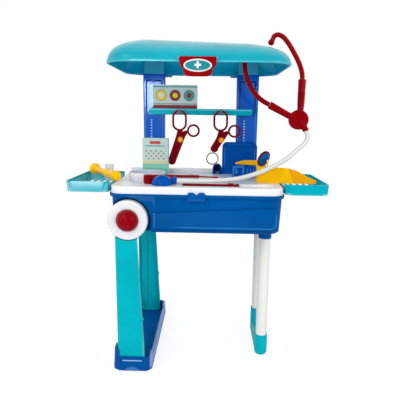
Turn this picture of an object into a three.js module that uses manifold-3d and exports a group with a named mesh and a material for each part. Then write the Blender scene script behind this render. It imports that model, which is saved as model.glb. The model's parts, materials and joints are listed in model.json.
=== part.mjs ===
// Toy doctor case, unfolded as a play table: a wheeled case body on a swinging leg frame and its pull
// handle, two posts that carry the lid as a canopy, side trays, and the play instruments on it.
// Millimetres, +Z up, +X to the right, -Y to the front. The origin is on the floor under the case.
import * as THREE from 'three';
import { mergeVertices } from 'three/addons/utils/BufferGeometryUtils.js';
import Module from 'manifold-3d';

const wasm = await Module();
wasm.setup();

// Gaps, overruns and counts shared by all pieces
const fit = 0.3;
const overrun = 6;
const cornerSteps = 4;
const roundSides = 24;
const tubeSides = 8;
const smallSides = 16;
const slotSteps = 2;
const capShare = 0.498;

// Case body
const caseWidth = 360;
const caseDepth = 288;
const caseUnderside = 305;
const caseHeight = 80;
const caseCorner = 27;
const caseWall = 3;
const caseLipHeight = 8;
const caseLipReach = 4;
const caseDraft = 3;
const panelInset = 1;
const panelRise = 9;
const panelLeftHeight = 32;
const panelRightHeight = 45.5;
const panelCorner = 10;
const panelEndMargin = 15;
const hoodRecess = 1.5;
const caseRim = caseUnderside + caseHeight;
const panelFace = caseDepth / 2 - panelInset;

// Wheels and axle
const wheelRadius = 41;
const wheelWidth = 20.5;
const wheelFaceInset = 1;
const wheelLip = 3;
const axleRadius = 4;
const axleRise = 27;
const axleEndInset = 3;
const pocketGap = 5;
const pocketDepth = 22.5;
const hubRadius = 22.5;
const hubRise = 18;
const hubStep = 4;
const axleX = -caseWidth / 2 + wheelRadius;
const axleZ = caseUnderside + axleRise;
const pocketRadius = wheelRadius + pocketGap;
const panelEdgeGap = 3;

// Leg frame
const armDepth = 8.7;
const armPanelGap = 0.8;
const armWall = 2.2;
const armTopBack = 25.5;
const armTopFront = 17;
const armBottomBack = 22.5;
const armBottomFront = 34;
const armCorner = 9;
const armRidge = 2;
const armRidgeDepth = 3.5;
const armRidgeBack = 5;
const armArcGap = 1.2;
const armHeadRadius = 23;
const armHeadThickness = 7.5;
const armHeadGap = 1;
const armNubHeight = 11;
const armNubReach = 3;
const armNubZ = 118;
const baseBack = 34;
const baseFront = 49;
const baseFloor = 12;
const baseEndHeight = 37;
const baseCornerHeight = 52;
const baseSideHeight = 30;
const baseWall = 3.2;
const baseCorner = 14;
const baseInnerCorner = 4;
const baseSole = 7;
const baseTuck = 9;
const baseTaper = 4;
const baseEndReach = 34;
const baseCornerReach = 14;
const baseRibWidth = 42;
const baseRibHeight = 2.4;
const baseRibZ = 28;
const baseRibProud = 1.2;
const baseArchWidth = 40;
const baseArchHeight = 11;
const baseArchZ = 4;
const baseArchDepth = 1.2;
const armTip = panelFace + armPanelGap;
const armFace = armTip + armDepth;

// Pull handle that serves as the right legs
const handleInset = 29;
const handleSpread = 57;
const handleTubeRadius = 12.5;
const handleTubeWall = 2;
const handleSocketRadius = 14.7;
const handleSocketDrop = 27;
const handleSocketRoof = 3;
const gripRadius = 14.6;
const gripFrontHeight = 50;
const gripRearHeight = 66;
const gripFloor = 14;
const gripBarHeight = 27;
const gripBarCorner = 12;
const gripCorner = 7;
const handleX = caseWidth / 2 - handleInset;

// Tray insert
const traySetback = 2.5;
const trayHeight = 15.5;
const trayWall = 2.5;
const trayEdge = 3;
const ledgeHeight = 8.5;
const ledgeDepth = 28;
const ledgeSetback = 2;
const bowlInset = 68;
const bowlSetback = 100;
const bowlRadius = 38;
const bowlRise = 19;
const bowlDepth = 42;
const bowlFlare = 3;
const bowlFloorRadius = 22;
const channelSetback = 20;
const channelFromBowl = 78;
const channelBreadth = 40;
const channelDepth = 6;
const wellLeft = -24;
const wellRight = 29;
const wellBreadth = 44;
const wellSetback = 48;
const wellDepth = 7;
const wellCorner = 8;
const deckTop = caseRim + fit + trayHeight;
const ledgeTop = deckTop + ledgeHeight;
const ledgeBack = caseDepth / 2 - traySetback - ledgeSetback;
const ledgeFront = ledgeBack - ledgeDepth;
const bowlX = -caseWidth / 2 + bowlInset;
const bowlY = -caseDepth / 2 + bowlSetback;
const channelLeft = bowlX + channelFromBowl;
const channelRight = caseWidth / 2 - channelSetback;
const channelFront = -caseDepth / 2 + channelSetback;
const channelBack = channelFront + channelBreadth;
const wellBack = caseDepth / 2 - wellSetback;
const wellFront = wellBack - wellBreadth;

// Catch on the front rim
const catchWidth = 35;
const catchHeight = 18;
const catchThickness = 4;
const catchRise = 6;
const catchNotch = 6;
const catchBump = 4;

// Posts and shelf
const postInset = 64;
const postWidth = 55;
const postDepth = 23;
const postLedgeMargin = 2.5;
const postTop = 644;
const postFootDepth = 6;
const postFlare = 1.5;
const postCorner = 3;
const postPanelWidth = 42;
const postPanelDepth = 2;
const postPanelCorner = 6;
const postPanelTopMargin = 14;
const postRibWidth = 8;
const postRibProud = 1.8;
const postRibTop = 535;
const postRibBottom = 440;
const postRibShift = 7;
const tenonWidth = 36;
const tenonDepth = 14;
const tenonHeight = 13;
const shelfZ = 545;
const shelfHeight = 15;
const shelfDepth = 25;
const shelfReach = 11;
const shelfLip = 2;
const hookSpread = 50;
const hookRadius = 3.2;
const hookDrop = 3.4;
const hookReach = 14;
const hookHeadRadius = 5.6;
const hookHeadThickness = 2;
const postFaceY = ledgeFront + postLedgeMargin;
const postCentre = caseWidth / 2 - postInset;

// Canopy, the lid of the case
const canopyReach = 5;
const canopyOverhang = 4.5;
const canopyRim = 642.5;
const canopyHeight = 53;
const canopyLeanShare = 0.11;
const canopyWall = 3;
const canopyCorner = 58;
const canopyCornerShare = 0.72;
const canopyLipHeight = 5;
const canopyLipProud = 1;
const canopyRiseShares = [0.13, 0.26, 0.43, 0.565, 0.67, 0.775, 0.88, 0.955, 1];
const canopyInsetShares = [0.003, 0.023, 0.08, 0.155, 0.243, 0.357, 0.525, 0.71, 0.88];
const socketWidth = 49;
const socketDepth = 24;
const tabWidth = 25;
const tabHeight = 7;
const tabDrop = 4;
const tabThickness = 3;
const tabCentre = 86;
const canopyWidth = caseWidth + 2 * canopyReach;
const canopyDepth = caseDepth + 2 * canopyOverhang;

// Latch on the canopy front
const latchWidth = 70;
const latchBottomWidth = 56;
const latchHeight = 37;
const latchThickness = 4.4;
const latchCorner = 13;
const latchTopRise = 10;
const latchPinRadius = 1.1;
const latchLugWidth = 4;
const latchLugHeight = 8;
const badgeWidth = 54;
const badgeHeight = 24;
const badgeThickness = 1.6;
const badgeRim = 3;
const badgeDrop = 5;

// Side trays
const wingLength = 194;
const wingReach = 91;
const wingHeight = 22;
const wingSetback = 18;
const wingWall = 2.6;
const wingCorner = 15;
const wingFlare = 1.5;
const wingInnerDrop = 7;
const wingSlotWidth = 10.5;
const wingSlotMargin = 16;
const wingSlotCount = 5;
const tongueWidth = 22;
const tongueThickness = 3;
const tongueReach = 12;
const tongueRise = 7;
const tongueInset = 32;
const wingFront = -caseDepth / 2 + wingSetback;
const wingBack = wingFront + wingLength;

// Toy scissors and clamp that hang on the hooks
const bladeThickness = 2.8;
const bladeWidth = 23;
const bladeTipWidth = 20;
const bladeLength = 62;
const bladeLean = 20.5;
const loopWidth = 36;
const loopHeight = 51;
const loopBand = 5;
const loopX = -2.5;
const loopZ = 46.3;
const eyeRadius = 16;
const eyeX = 31.5;
const eyeZ = 22;
const rivetRadius = 6.6;
const rivetHead = 1.6;
const rivetPinRadius = 3;
const toolGap = 0.4;
const jawRingRadius = 15.4;
const jawRingBand = 2.6;
const jawRingLeanShare = 0.175;
const clampEndShare = 0.484;
const clampLeanShare = 0.805;

// Boxes and holder
const boxLength = 108;
const boxHeight = 58;
const boxDepth = 19;
const standBoxWidth = 62;
const standBoxHeight = 88;
const standBoxDepth = 24;
const standBoxInset = 74;
const standBoxSetback = 82;
const holderInset = 124;
const holderWidth = 86;
const holderHeight = 79;
const holderDepth = 20;
const holderWall = 2.4;
const holderCorner = 12;
const holderRim = 2;
const standBoxX = -caseWidth / 2 + standBoxInset;
const standBoxY = caseDepth / 2 - standBoxSetback;
const holderLeft = caseWidth / 2 - holderInset;
const holderFront = ledgeFront - fit - holderDepth;

// Instruments that lie on the tray
const coneWidth = 23;
const coneHeight = 26;
const coneLength = 22;
const coneWall = 2.4;
const coneFromHolder = 12;
const coneSetback = 60;
const scopeInset = 102;
const scopeSetback = 135;
const scopeLength = 30;
const scopeHeight = 29;
const scopeDepth = 26;
const scopeCorner = 5;
const scopeNoseLength = 24;
const scopeNoseRadius = 12.5;
const scopeFrame = 3;
const hammerFromBowl = 10;
const hammerSetback = 45.5;
const hammerHeadRadius = 10.8;
const hammerHeadHeight = 19;
const hammerBevel = 2;
const hammerShaftRadius = 3.6;
const hammerTipRadius = 1.8;
const hammerSpan = 102;
const hammerDepth = 102.5;
const hammerTipLength = 46;
const probeInset = 4;
const probeSetback = 21.5;
const probeLength = 118;
const probeRadius = 2.8;
const probeCollarRadius = 5;
const probeCollarLength = 12;
const probeBulbRadius = 4.2;
const chestFromHammer = 33;
const chestForward = 13.5;
const chestRadius = 24.5;
const chestHeight = 17.5;
const chestTopRadius = 10;
const chestSpoutRadius = 6.6;
const chestSpoutReach = 27;
const chestSpoutBack = 7;
const chestSpoutRise = 7.5;
const chestRimHeight = 1.8;
const coneX = holderLeft - coneFromHolder;
const coneY = caseDepth / 2 - coneSetback;
const scopeX = caseWidth / 2 - scopeInset;
const scopeY = caseDepth / 2 - scopeSetback;
const hammerX = bowlX + hammerFromBowl;
const hammerY = -caseDepth / 2 + hammerSetback;
const probeLeft = channelLeft + probeInset;
const probeY = channelFront + probeSetback;
const chestX = hammerX + chestFromHammer;
const chestY = hammerY - chestForward;

// Head mirror and its band
const mirrorRadius = 18;
const mirrorThickness = 3;
const mirrorDome = 7.5;
const mirrorRise = 13.5;
const mirrorPlaceShare = 0.66;
const mirrorNormalShares = [-0.62, 0.7, 0.35];
const mirrorBallRadius = 3;
const mirrorStemRadius = 1.2;
const bandThickness = 2.6;
const bandHeight = 34;
const bandInset = 92;
const bandSetback = 80;
const bandBackGap = 20;
const bandEndGap = 12;
const bandPlanShares = [
  [0, 0.94, 0.83, 0.93], [0.14, 0.99, 0.78, 1.09], [0.33, 0.93, 0.73, 1.1], [0.41, 0.76, 0.5, 1.08],
  [0.395, 0.56, 0.2, 1.04], [0.325, 0.385, 0.05, 1], [0.25, 0.22, 0, 1], [0.255, 0.085, 0, 1],
  [0.38, 0.015, 0, 1], [0.55, 0.005, 0, 1], [0.705, 0, 0, 0.9], [0.88, 0.01, 0, 0.45],
  [1, 0.035, 0, 0.2]];
const bandLeft = caseWidth / 2 - bandInset;
const bandFront = -caseDepth / 2 + bandSetback;
const bandDepth = holderFront - bandBackGap - bandFront;
const bandSpan = caseWidth / 2 + wingReach - wingWall - bandEndGap - bandLeft;

// Stethoscope
const cordRadius = 4.8;
const earTubeRadius = 5.3;
const earCollarRadius = 7.4;
const earCollarLip = 1.4;
const earTipRadius = 7;
const earTipLength = 13;
const yokeRadius = 21.5;
const yokeThickness = 13;
const yokeNeckRadius = 7.4;
const yokeNeckStub = 7;
const yokeOffset = 32;
const yokeY = -30;
const yokeZ = 537;
const earGap = 0.8;
const earSpan = 100;
const cordEndRight = 17;
const cordEndForward = 4;
const cordEndDrop = 24.5;
const yokeX = canopyWidth / 2 + yokeOffset;
const earOneShares = [
  [0.05, 0.04, 0.86], [0.037, 0.055, 1.0], [-0.028, 0.09, 1.2], [-0.15, 0.17, 1.45], [-0.27, 0.23, 1.65],
  [-0.37, 0.28, 1.77], [-0.47, 0.3, 1.825], [-0.55, 0.3, 1.795], [-0.59, 0.3, 1.715]];
const earTwoShares = [
  [-0.64, -0.01, 0.31], [-0.76, -0.01, 0.375], [-0.89, 0, 0.47], [-1.01, 0, 0.61], [-1.1, 0, 0.76],
  [-1.17, 0, 0.93], [-1.2, 0, 1.1], [-1.21, 0, 1.24]];
const collarOneShare = [0.04, 0.02, 0.23];
const collarTwoShare = [-0.21, -0.01, 0.085];

// Syringe on the left tray
const syringeKnobRadius = 14;
const syringeNoseRadius = 12;
const syringeCollarRadius = 11;
const syringeBarrelRadius = 9.2;
const syringeRodRadius = 7;
const syringeBarrelLength = 56;
const syringeStroke = 12;
const syringeNoseInset = 5;
const syringeNoseSetback = 50;
const syringeKnobReach = 70;
const syringeKnobSetback = 26;
const syringeKnobLift = 1.5;
const flaskRadius = 11;
const flaskHeight = 39;
const flaskWall = 1.6;
const flaskReach = 34;
const flaskSetback = 32;
const syringeNoseX = -caseWidth / 2 + syringeNoseInset;
const syringeNoseY = wingFront + syringeNoseSetback;
const syringeKnobX = -caseWidth / 2 - syringeKnobReach;
const syringeKnobY = wingBack - syringeKnobSetback;
const flaskX = -caseWidth / 2 - flaskReach;
const flaskY = wingBack - flaskSetback;

// Finishes
const paint = (color, roughness = 0.35, metalness = 0) =>
  new THREE.MeshStandardMaterial({ color, roughness, metalness });
const teal = paint(0x05aebc);
const blue = paint(0x0a58a6);
const postBlue = paint(0x0a55b8);
const white = paint(0xe8e8e6);
const tubeWhite = paint(0xdcded8);
const red = paint(0xa5000f);
const darkRed = paint(0x76091a);
const yellow = paint(0xffb800);
const orange = paint(0xf2a01c);
const grey = paint(0x5f686d, 0.5);
const steel = paint(0xb8bcc0, 0.3, 0.9);
const card = paint(0xc6dcd0, 0.6);
const clear = paint(0xd9e3e6, 0.1);
const jade = paint(0x2f8f9a);

const toy = new THREE.Group();

// Helpers: solids, joins and cuts
function solid(geometry) {
  const bare = geometry.clone();
  bare.deleteAttribute('normal');
  bare.deleteAttribute('uv');
  const welded = mergeVertices(bare);
  return new wasm.Manifold(new wasm.Mesh({
    numProp: 3,
    vertProperties: new Float32Array(welded.attributes.position.array),
    triVerts: new Uint32Array(welded.index.array),
  }));
}

function join(...geometries) {
  return geometries.map(solid).reduce((sum, next) => sum.add(next));
}

function surface(body) {
  const mesh = body.getMesh();
  const geometry = new THREE.BufferGeometry();
  geometry.setAttribute('position', new THREE.BufferAttribute(mesh.vertProperties, 3));
  geometry.setIndex(new THREE.BufferAttribute(mesh.triVerts, 1));
  return geometry;
}

function place(name, shape, material, parent = toy) {
  const geometry = shape.isBufferGeometry ? shape : surface(shape);
  const mesh = new THREE.Mesh(geometry, material);
  mesh.name = name;
  parent.add(mesh);
  return mesh;
}

// Helpers: outlines and extrusions
function roundedRect(left, bottom, right, top, radius) {
  const shape = new THREE.Shape();
  shape.moveTo(left + radius, bottom);
  shape.lineTo(right - radius, bottom);
  shape.absarc(right - radius, bottom + radius, radius, -Math.PI / 2, 0);
  shape.lineTo(right, top - radius);
  shape.absarc(right - radius, top - radius, radius, 0, Math.PI / 2);
  shape.lineTo(left + radius, top);
  shape.absarc(left + radius, top - radius, radius, Math.PI / 2, Math.PI);
  shape.lineTo(left, bottom + radius);
  shape.absarc(left + radius, bottom + radius, radius, Math.PI, 1.5 * Math.PI);
  return shape;
}

function extrude(shape, depth, curveSegments = cornerSteps) {
  return new THREE.ExtrudeGeometry(shape, { depth, bevelEnabled: false, curveSegments });
}

// A shape drawn in X and Z, running from one Y to a larger one
function slabY(shape, fromY, toY) {
  return extrude(shape, toY - fromY).rotateX(Math.PI / 2).translate(0, toY, 0);
}

// A shape drawn in Y and Z, running from one X to a larger one
function slabX(shape, fromX, toX) {
  const turn = new THREE.Matrix4().makeBasis(
    new THREE.Vector3(0, 1, 0), new THREE.Vector3(0, 0, 1), new THREE.Vector3(1, 0, 0));
  return extrude(shape, toX - fromX).applyMatrix4(turn).translate(fromX, 0, 0);
}

function slabZ(shape, fromZ, toZ, curveSegments = cornerSteps) {
  return extrude(shape, toZ - fromZ, curveSegments).translate(0, 0, fromZ);
}

function block(fromX, toX, fromY, toY, fromZ, toZ) {
  return new THREE.BoxGeometry(toX - fromX, toY - fromY, toZ - fromZ)
    .translate((fromX + toX) / 2, (fromY + toY) / 2, (fromZ + toZ) / 2);
}

function rodY(radius, x, fromY, toY, z, sides = roundSides) {
  return new THREE.CylinderGeometry(radius, radius, toY - fromY, sides)
    .translate(x, (fromY + toY) / 2, z);
}

function rodX(radius, fromX, toX, y, z, sides = roundSides) {
  return new THREE.CylinderGeometry(radius, radius, toX - fromX, sides)
    .rotateZ(Math.PI / 2).translate((fromX + toX) / 2, y, z);
}

// A revolved profile of [radius, height] pairs about the vertical
function turned(profile, sides = roundSides) {
  const points = profile.map(([r, h]) => new THREE.Vector2(r, h));
  return new THREE.LatheGeometry(points, sides).rotateX(Math.PI / 2);
}

// Helpers: level rings of a rounded rectangle, and a loft through them
function ring(halfX, halfY, corner, z, centreX = 0, centreY = 0) {
  const points = [];
  const radius = Math.min(corner, halfX, halfY);
  const corners = [[1, 1], [-1, 1], [-1, -1], [1, -1]];
  corners.forEach(([sx, sy], quarter) => {
    for (let step = 0; step <= cornerSteps; step += 1) {
      const angle = (quarter + step / cornerSteps) * Math.PI / 2;
      points.push(new THREE.Vector3(
        centreX + sx * (halfX - radius) + radius * Math.cos(angle),
        centreY + sy * (halfY - radius) + radius * Math.sin(angle), z));
    }
  });
  return points;
}

function loft(rings) {
  const count = rings[0].length;
  const positions = rings.flat().flatMap((p) => [p.x, p.y, p.z]);
  const index = [];
  for (let level = 0; level < rings.length - 1; level += 1) {
    for (let k = 0; k < count; k += 1) {
      const a = level * count + k;
      const b = level * count + (k + 1) % count;
      index.push(a, b, b + count, a, b + count, a + count);
    }
  }
  const last = (rings.length - 1) * count;
  for (let k = 1; k < count - 1; k += 1) {
    index.push(0, k + 1, k);
    index.push(last, last + k, last + k + 1);
  }
  const geometry = new THREE.BufferGeometry();
  geometry.setAttribute('position', new THREE.Float32BufferAttribute(positions, 3));
  geometry.setIndex(index);
  return geometry;
}

// A round or flat section swept along a curve through the given points
function sweep(section, points, steps) {
  const path = new THREE.CatmullRomCurve3(points.map((p) => new THREE.Vector3(...p)));
  return new THREE.ExtrudeGeometry(section, { steps, extrudePath: path, bevelEnabled: false });
}

function circle(radius, sides = tubeSides) {
  const points = [];
  for (let k = 0; k < sides; k += 1) {
    const angle = 2 * Math.PI * k / sides;
    points.push(new THREE.Vector2(radius * Math.cos(angle), radius * Math.sin(angle)));
  }
  return new THREE.Shape(points);
}

function taperRod(fromRadius, toRadius, from, to, sides = tubeSides) {
  const start = new THREE.Vector3(...from);
  const along = new THREE.Vector3(...to).sub(start);
  const rod = new THREE.CylinderGeometry(toRadius, fromRadius, along.length(), sides);
  const turn = new THREE.Quaternion().setFromUnitVectors(
    new THREE.Vector3(0, 1, 0), along.clone().normalize());
  const middle = start.addScaledVector(along, 0.5);
  return rod.applyQuaternion(turn).translate(middle.x, middle.y, middle.z);
}

// Case body: a drafted shell with a lip, tapered side panels and a round wheel pocket on each side
function caseRings(inset) {
  const x = caseWidth / 2;
  const y = caseDepth / 2;
  const under = caseLipReach + inset;
  const foot = under + caseDraft;
  return { x, y, under, foot };
}

function caseOuter() {
  const { x, y, under, foot } = caseRings(0);
  const lipZ = caseRim - caseLipHeight;
  return loft([
    ring(x - foot - caseWall, y - foot - caseWall, caseCorner, caseUnderside),
    ring(x - foot, y - foot, caseCorner, caseUnderside + caseWall),
    ring(x - under, y - under, caseCorner, lipZ),
    ring(x, y, caseCorner, lipZ + caseLipReach / 2),
    ring(x, y, caseCorner, caseRim),
  ]);
}

function caseInner() {
  const { x, y, under, foot } = caseRings(caseWall);
  return loft([
    ring(x - foot, y - foot, caseCorner - caseWall, caseUnderside + caseWall),
    ring(x - under, y - under, caseCorner - caseWall, caseRim + overrun),
  ]);
}

function sidePanel() {
  const left = axleX + pocketRadius + panelEdgeGap;
  const right = caseWidth / 2 - panelEndMargin;
  const bottom = caseUnderside + panelRise;
  const outline = new THREE.Shape();
  outline.moveTo(left, bottom);
  outline.lineTo(right - panelCorner, bottom);
  outline.absarc(right - panelCorner, bottom + panelCorner, panelCorner, -Math.PI / 2, 0);
  outline.lineTo(right, bottom + panelRightHeight - panelCorner);
  outline.absarc(right - panelCorner, bottom + panelRightHeight - panelCorner, panelCorner,
    0, Math.PI / 2);
  outline.lineTo(left, bottom + panelLeftHeight);
  return outline;
}

function pocketOutline(radius) {
  const outline = new THREE.Shape();
  const end = -caseWidth / 2 - overrun;
  outline.moveTo(end, caseUnderside - overrun);
  outline.lineTo(axleX + radius, caseUnderside - overrun);
  outline.lineTo(axleX + radius, axleZ);
  outline.absarc(axleX, axleZ, radius, 0, Math.PI);
  outline.lineTo(end, axleZ);
  return outline;
}

function makeCase() {
  const outer = solid(caseOuter());
  let body = outer.subtract(solid(caseInner()));
  const wallY = caseDepth / 2 - caseLipReach - caseDraft - caseWall;
  const pocketY = caseDepth / 2 - pocketDepth;
  const farY = caseDepth / 2 + overrun;
  for (const side of [-1, 1]) {
    const span = (near, far) => (side < 0 ? [-far, -near] : [near, far]);
    const housing = slabY(pocketOutline(pocketRadius + caseWall), ...span(pocketY - caseWall, farY));
    const panel = slabY(sidePanel(), ...span(wallY, panelFace));
    const pocket = slabY(pocketOutline(pocketRadius), ...span(pocketY, farY));
    const hood = block(-caseWidth / 2 - overrun, axleX + pocketRadius + panelEdgeGap,
      ...span(caseDepth / 2 - caseLipReach - hoodRecess, farY),
      caseUnderside - overrun, caseRim - caseLipHeight - overrun);
    body = body.add(solid(housing).intersect(outer)).add(solid(panel));
    body = body.subtract(solid(pocket)).subtract(solid(hood));
  }
  body = body.subtract(solid(rodY(axleRadius + fit, axleX, -farY, farY, axleZ)));
  place('case_body', body, blue);
}

// Catch: a small plate with two rounded bumps and a notch between them
function makeCatch() {
  const half = catchWidth / 2;
  const top = caseRim + catchRise;
  const shape = new THREE.Shape();
  shape.moveTo(-half, top - catchHeight);
  shape.lineTo(half, top - catchHeight);
  shape.lineTo(half, top - catchBump);
  shape.absarc(half - catchBump, top - catchBump, catchBump, 0, Math.PI / 2);
  shape.lineTo(catchNotch, top);
  shape.lineTo(0, top - catchNotch);
  shape.lineTo(-catchNotch, top);
  shape.lineTo(-half + catchBump, top);
  shape.absarc(-half + catchBump, top - catchBump, catchBump, Math.PI / 2, Math.PI);
  const back = -caseDepth / 2 - fit;
  place('latch_catch', slabY(shape, back - catchThickness, back), blue);
}

// Wheels: a rim, a dished web and a bore, each with a red domed cap, on one axle
function wheelProfile() {
  const hub = axleRadius + fit;
  return [
    [hub, 0],
    [wheelRadius - wheelLip, 0],
    [wheelRadius, wheelLip],
    [wheelRadius, wheelWidth - wheelLip],
    [wheelRadius - wheelLip, wheelWidth],
    [hubRadius + fit, wheelWidth],
    [hubRadius + fit, wheelWidth - hubStep],
    [hub, wheelWidth - hubStep],
    [hub, 0],
  ];
}

function hubProfile() {
  const points = [[0, -hubStep + fit], [hubRadius, -hubStep + fit], [hubRadius, 0]];
  for (let step = 1; step <= cornerSteps; step += 1) {
    const angle = step / cornerSteps * Math.PI / 2;
    points.push([step === cornerSteps ? 0 : hubRadius * Math.cos(angle), hubRise * Math.sin(angle)]);
  }
  return points;
}

function makeWheels() {
  const face = armFace - wheelFaceInset;
  const axleEnd = face - hubStep - axleEndInset;
  place('wheel_axle', rodY(axleRadius, axleX, -axleEnd, axleEnd, axleZ, smallSides), steel);
  for (const [label, side] of [['front', -1], ['rear', 1]]) {
    const out = new THREE.Group();
    out.position.set(axleX, side * (face - wheelWidth), axleZ);
    out.rotation.x = -side * Math.PI / 2;
    toy.add(out);
    place(`wheel_${label}`, turned(wheelProfile()), white, out);
    place(`hub_cap_${label}`, turned(hubProfile()), red, out).position.z = wheelWidth;
  }
}

// Leg arm: a tapered channel that opens towards the case, stepped in behind the wheel to a round head
function armOutline(inset, topZ) {
  const bottom = baseFloor + fit + inset;
  const corner = armCorner - inset;
  const left = axleX - armBottomBack + inset;
  const right = axleX + armBottomFront - inset;
  const shape = new THREE.Shape();
  shape.moveTo(left + corner, bottom);
  shape.lineTo(right - corner, bottom);
  shape.absarc(right - corner, bottom + corner, corner, -Math.PI / 2, 0);
  shape.lineTo(axleX + armTopFront - inset, topZ);
  shape.lineTo(axleX - armTopBack + inset, topZ);
  shape.lineTo(left, bottom + corner);
  shape.absarc(left + corner, bottom + corner, corner, Math.PI, 1.5 * Math.PI);
  return shape;
}

function makeArm(label, side) {
  const span = (near, far) => (side < 0 ? [-far, -near] : [near, far]);
  const headY = caseDepth / 2 - pocketDepth + armHeadGap;
  const arcInner = wheelRadius + armArcGap;
  const arcOuter = arcInner + armWall;
  const reach = span(headY - overrun, armFace + overrun);
  const inner = solid(rodY(arcInner, axleX, ...reach, axleZ, roundSides + tubeSides));
  const outer = solid(rodY(arcOuter, axleX, ...reach, axleZ, roundSides + tubeSides));
  const topZ = axleZ - axleRadius;
  const channel = solid(slabY(armOutline(0, topZ), ...span(armTip, armFace))).subtract(inner);
  const hollow = solid(slabY(armOutline(armWall, topZ), ...span(armTip - overrun, armFace - armWall)))
    .subtract(outer);
  const arc = outer.subtract(inner)
    .intersect(solid(slabY(armOutline(0, topZ), ...span(headY, armFace))));
  const head = solid(slabY(armOutline(0, topZ), ...span(headY, headY + armHeadThickness)))
    .intersect(outer).add(solid(rodY(armHeadRadius, axleX, ...span(headY, headY + armHeadThickness), axleZ)));
  const ridgeX = axleX - armRidgeBack;
  const ridge = block(ridgeX, ridgeX + armRidge,
    ...span(armFace - armWall - armRidgeDepth, armFace - armWall / 2),
    baseFloor + armCorner, axleZ - arcInner - armWall);
  const nubX = axleX + (armTopFront + armBottomFront) / 2;
  const nub = rodY(armNubHeight / 2, nubX, ...span(armTip, armFace - armWall), armNubZ, smallSides);
  const nubCut = block(nubX - armNubHeight, nubX + armNubReach - armWall,
    ...span(armTip - overrun, armFace), armNubZ - armNubHeight, armNubZ + armNubHeight);
  let arm = channel.subtract(hollow).add(arc).add(head).add(solid(ridge));
  arm = arm.add(solid(nub).subtract(solid(nubCut)));
  arm = arm.subtract(solid(rodY(axleRadius + fit, axleX, ...reach, axleZ)));
  place(`leg_arm_${label}`, arm, teal);
}

// Base of the leg frame: a long open trough with raised corners, a rib and an arch on each end wall
function baseRing(grow, z) {
  const halfX = (baseBack + baseFront) / 2;
  const centreX = axleX + (baseFront - baseBack) / 2;
  const halfY = armFace + fit + baseWall;
  return ring(halfX + grow, halfY + grow, baseCorner + grow, z, centreX);
}

function makeBase() {
  const halfX = (baseBack + baseFront) / 2;
  const centreX = axleX + (baseFront - baseBack) / 2;
  const endY = armFace + fit + baseWall;
  const shell = solid(loft([
    baseRing(-baseTuck, 0),
    baseRing(0, baseSole),
    baseRing(0, baseFloor),
    baseRing(-baseTaper / 2, baseCornerHeight),
    ring(halfX - baseWall - baseTaper, armFace + fit, baseInnerCorner, baseCornerHeight, centreX),
    ring(halfX - baseWall - baseTaper / 2, armFace + fit, baseInnerCorner, baseFloor, centreX),
  ]));
  const wide = halfX + overrun;
  const sideCut = block(centreX - wide, centreX + wide, -endY + baseEndReach, endY - baseEndReach,
    baseSideHeight, baseCornerHeight + overrun);
  const endCut = block(centreX - halfX + baseCornerReach, centreX + wide, -endY - overrun, endY + overrun,
    baseEndHeight, baseCornerHeight + overrun);
  const rib = roundedRect(centreX - baseRibWidth / 2, baseRibZ, centreX + baseRibWidth / 2,
    baseRibZ + baseRibHeight, baseRibHeight * capShare);
  let body = shell.subtract(solid(sideCut)).subtract(solid(endCut));
  for (const [from, to] of [[-endY - baseRibProud, -endY + baseWall / 2],
    [endY - baseWall / 2, endY + baseRibProud]]) {
    body = body.add(solid(slabY(rib, from, to)));
  }
  const arch = new THREE.Shape();
  arch.moveTo(centreX - baseArchWidth / 2, baseArchZ);
  arch.lineTo(centreX + baseArchWidth / 2, baseArchZ);
  arch.quadraticCurveTo(centreX, baseArchZ + 2 * baseArchHeight, centreX - baseArchWidth / 2, baseArchZ);
  const archCut = slabY(arch, -endY - overrun, -endY + baseArchDepth);
  const archCutRear = slabY(arch, endY - baseArchDepth, endY + overrun);
  body = body.subtract(solid(archCut)).subtract(solid(archCutRear));
  place('base_foot', body, blue);
}

// Pull handle: two tubes that plug into sockets under the case, and a grip that stands on the floor
function makeHandle() {
  const roof = caseUnderside - fit;
  const socketHole = roof - handleSocketRoof;
  const tubeTop = socketHole - fit;
  const tubeFoot = gripFloor + fit;
  for (const [label, side] of [['front', -1], ['rear', 1]]) {
    const y = side * handleSpread;
    const socket = turned([
      [0, socketHole], [handleTubeRadius + fit, socketHole],
      [handleTubeRadius + fit, roof - handleSocketDrop], [handleSocketRadius, roof - handleSocketDrop],
      [handleSocketRadius, roof], [0, roof]], smallSides);
    place(`handle_socket_${label}`, socket.translate(handleX, y, 0), blue);
    const bore = handleTubeRadius - handleTubeWall;
    const tube = turned([
      [bore, tubeFoot], [handleTubeRadius, tubeFoot], [handleTubeRadius, tubeTop],
      [bore, tubeTop], [bore, tubeFoot]], smallSides);
    place(`handle_tube_${label}`, tube.translate(handleX, y, 0), tubeWhite);
  }
  place('handle_grip', gripBody(), teal);
}

function gripBody() {
  const reach = handleSpread;
  const outline = roundedRect(handleX - gripRadius, 0, handleX + gripRadius, gripBarHeight, gripBarCorner);
  let body = solid(slabY(outline, -reach, reach));
  for (const [side, height] of [[-1, gripFrontHeight], [1, gripRearHeight]]) {
    const y = side * reach;
    const leg = turned([
      [0, 0], [gripRadius - gripCorner, 0], [gripRadius - gripCorner / 3, gripCorner / 3],
      [gripRadius, gripCorner], [gripRadius, height], [0, height]]).translate(handleX, y, 0);
    const hole = turned([
      [0, gripFloor], [handleTubeRadius + fit, gripFloor],
      [handleTubeRadius + fit, height + overrun], [0, height + overrun]], smallSides)
      .translate(handleX, y, 0);
    body = body.add(solid(leg)).subtract(solid(hole));
  }
  return body;
}

// Tray insert: a deck with a skirt, a raised round bowl, a tool channel, a well and a rear ledge
function tub(left, right, front, back, depth, grow) {
  return slabZ(roundedRect(left - grow, front - grow, right + grow, back + grow, wellCorner + grow),
    deckTop - depth - grow, deckTop, slotSteps);
}

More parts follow.
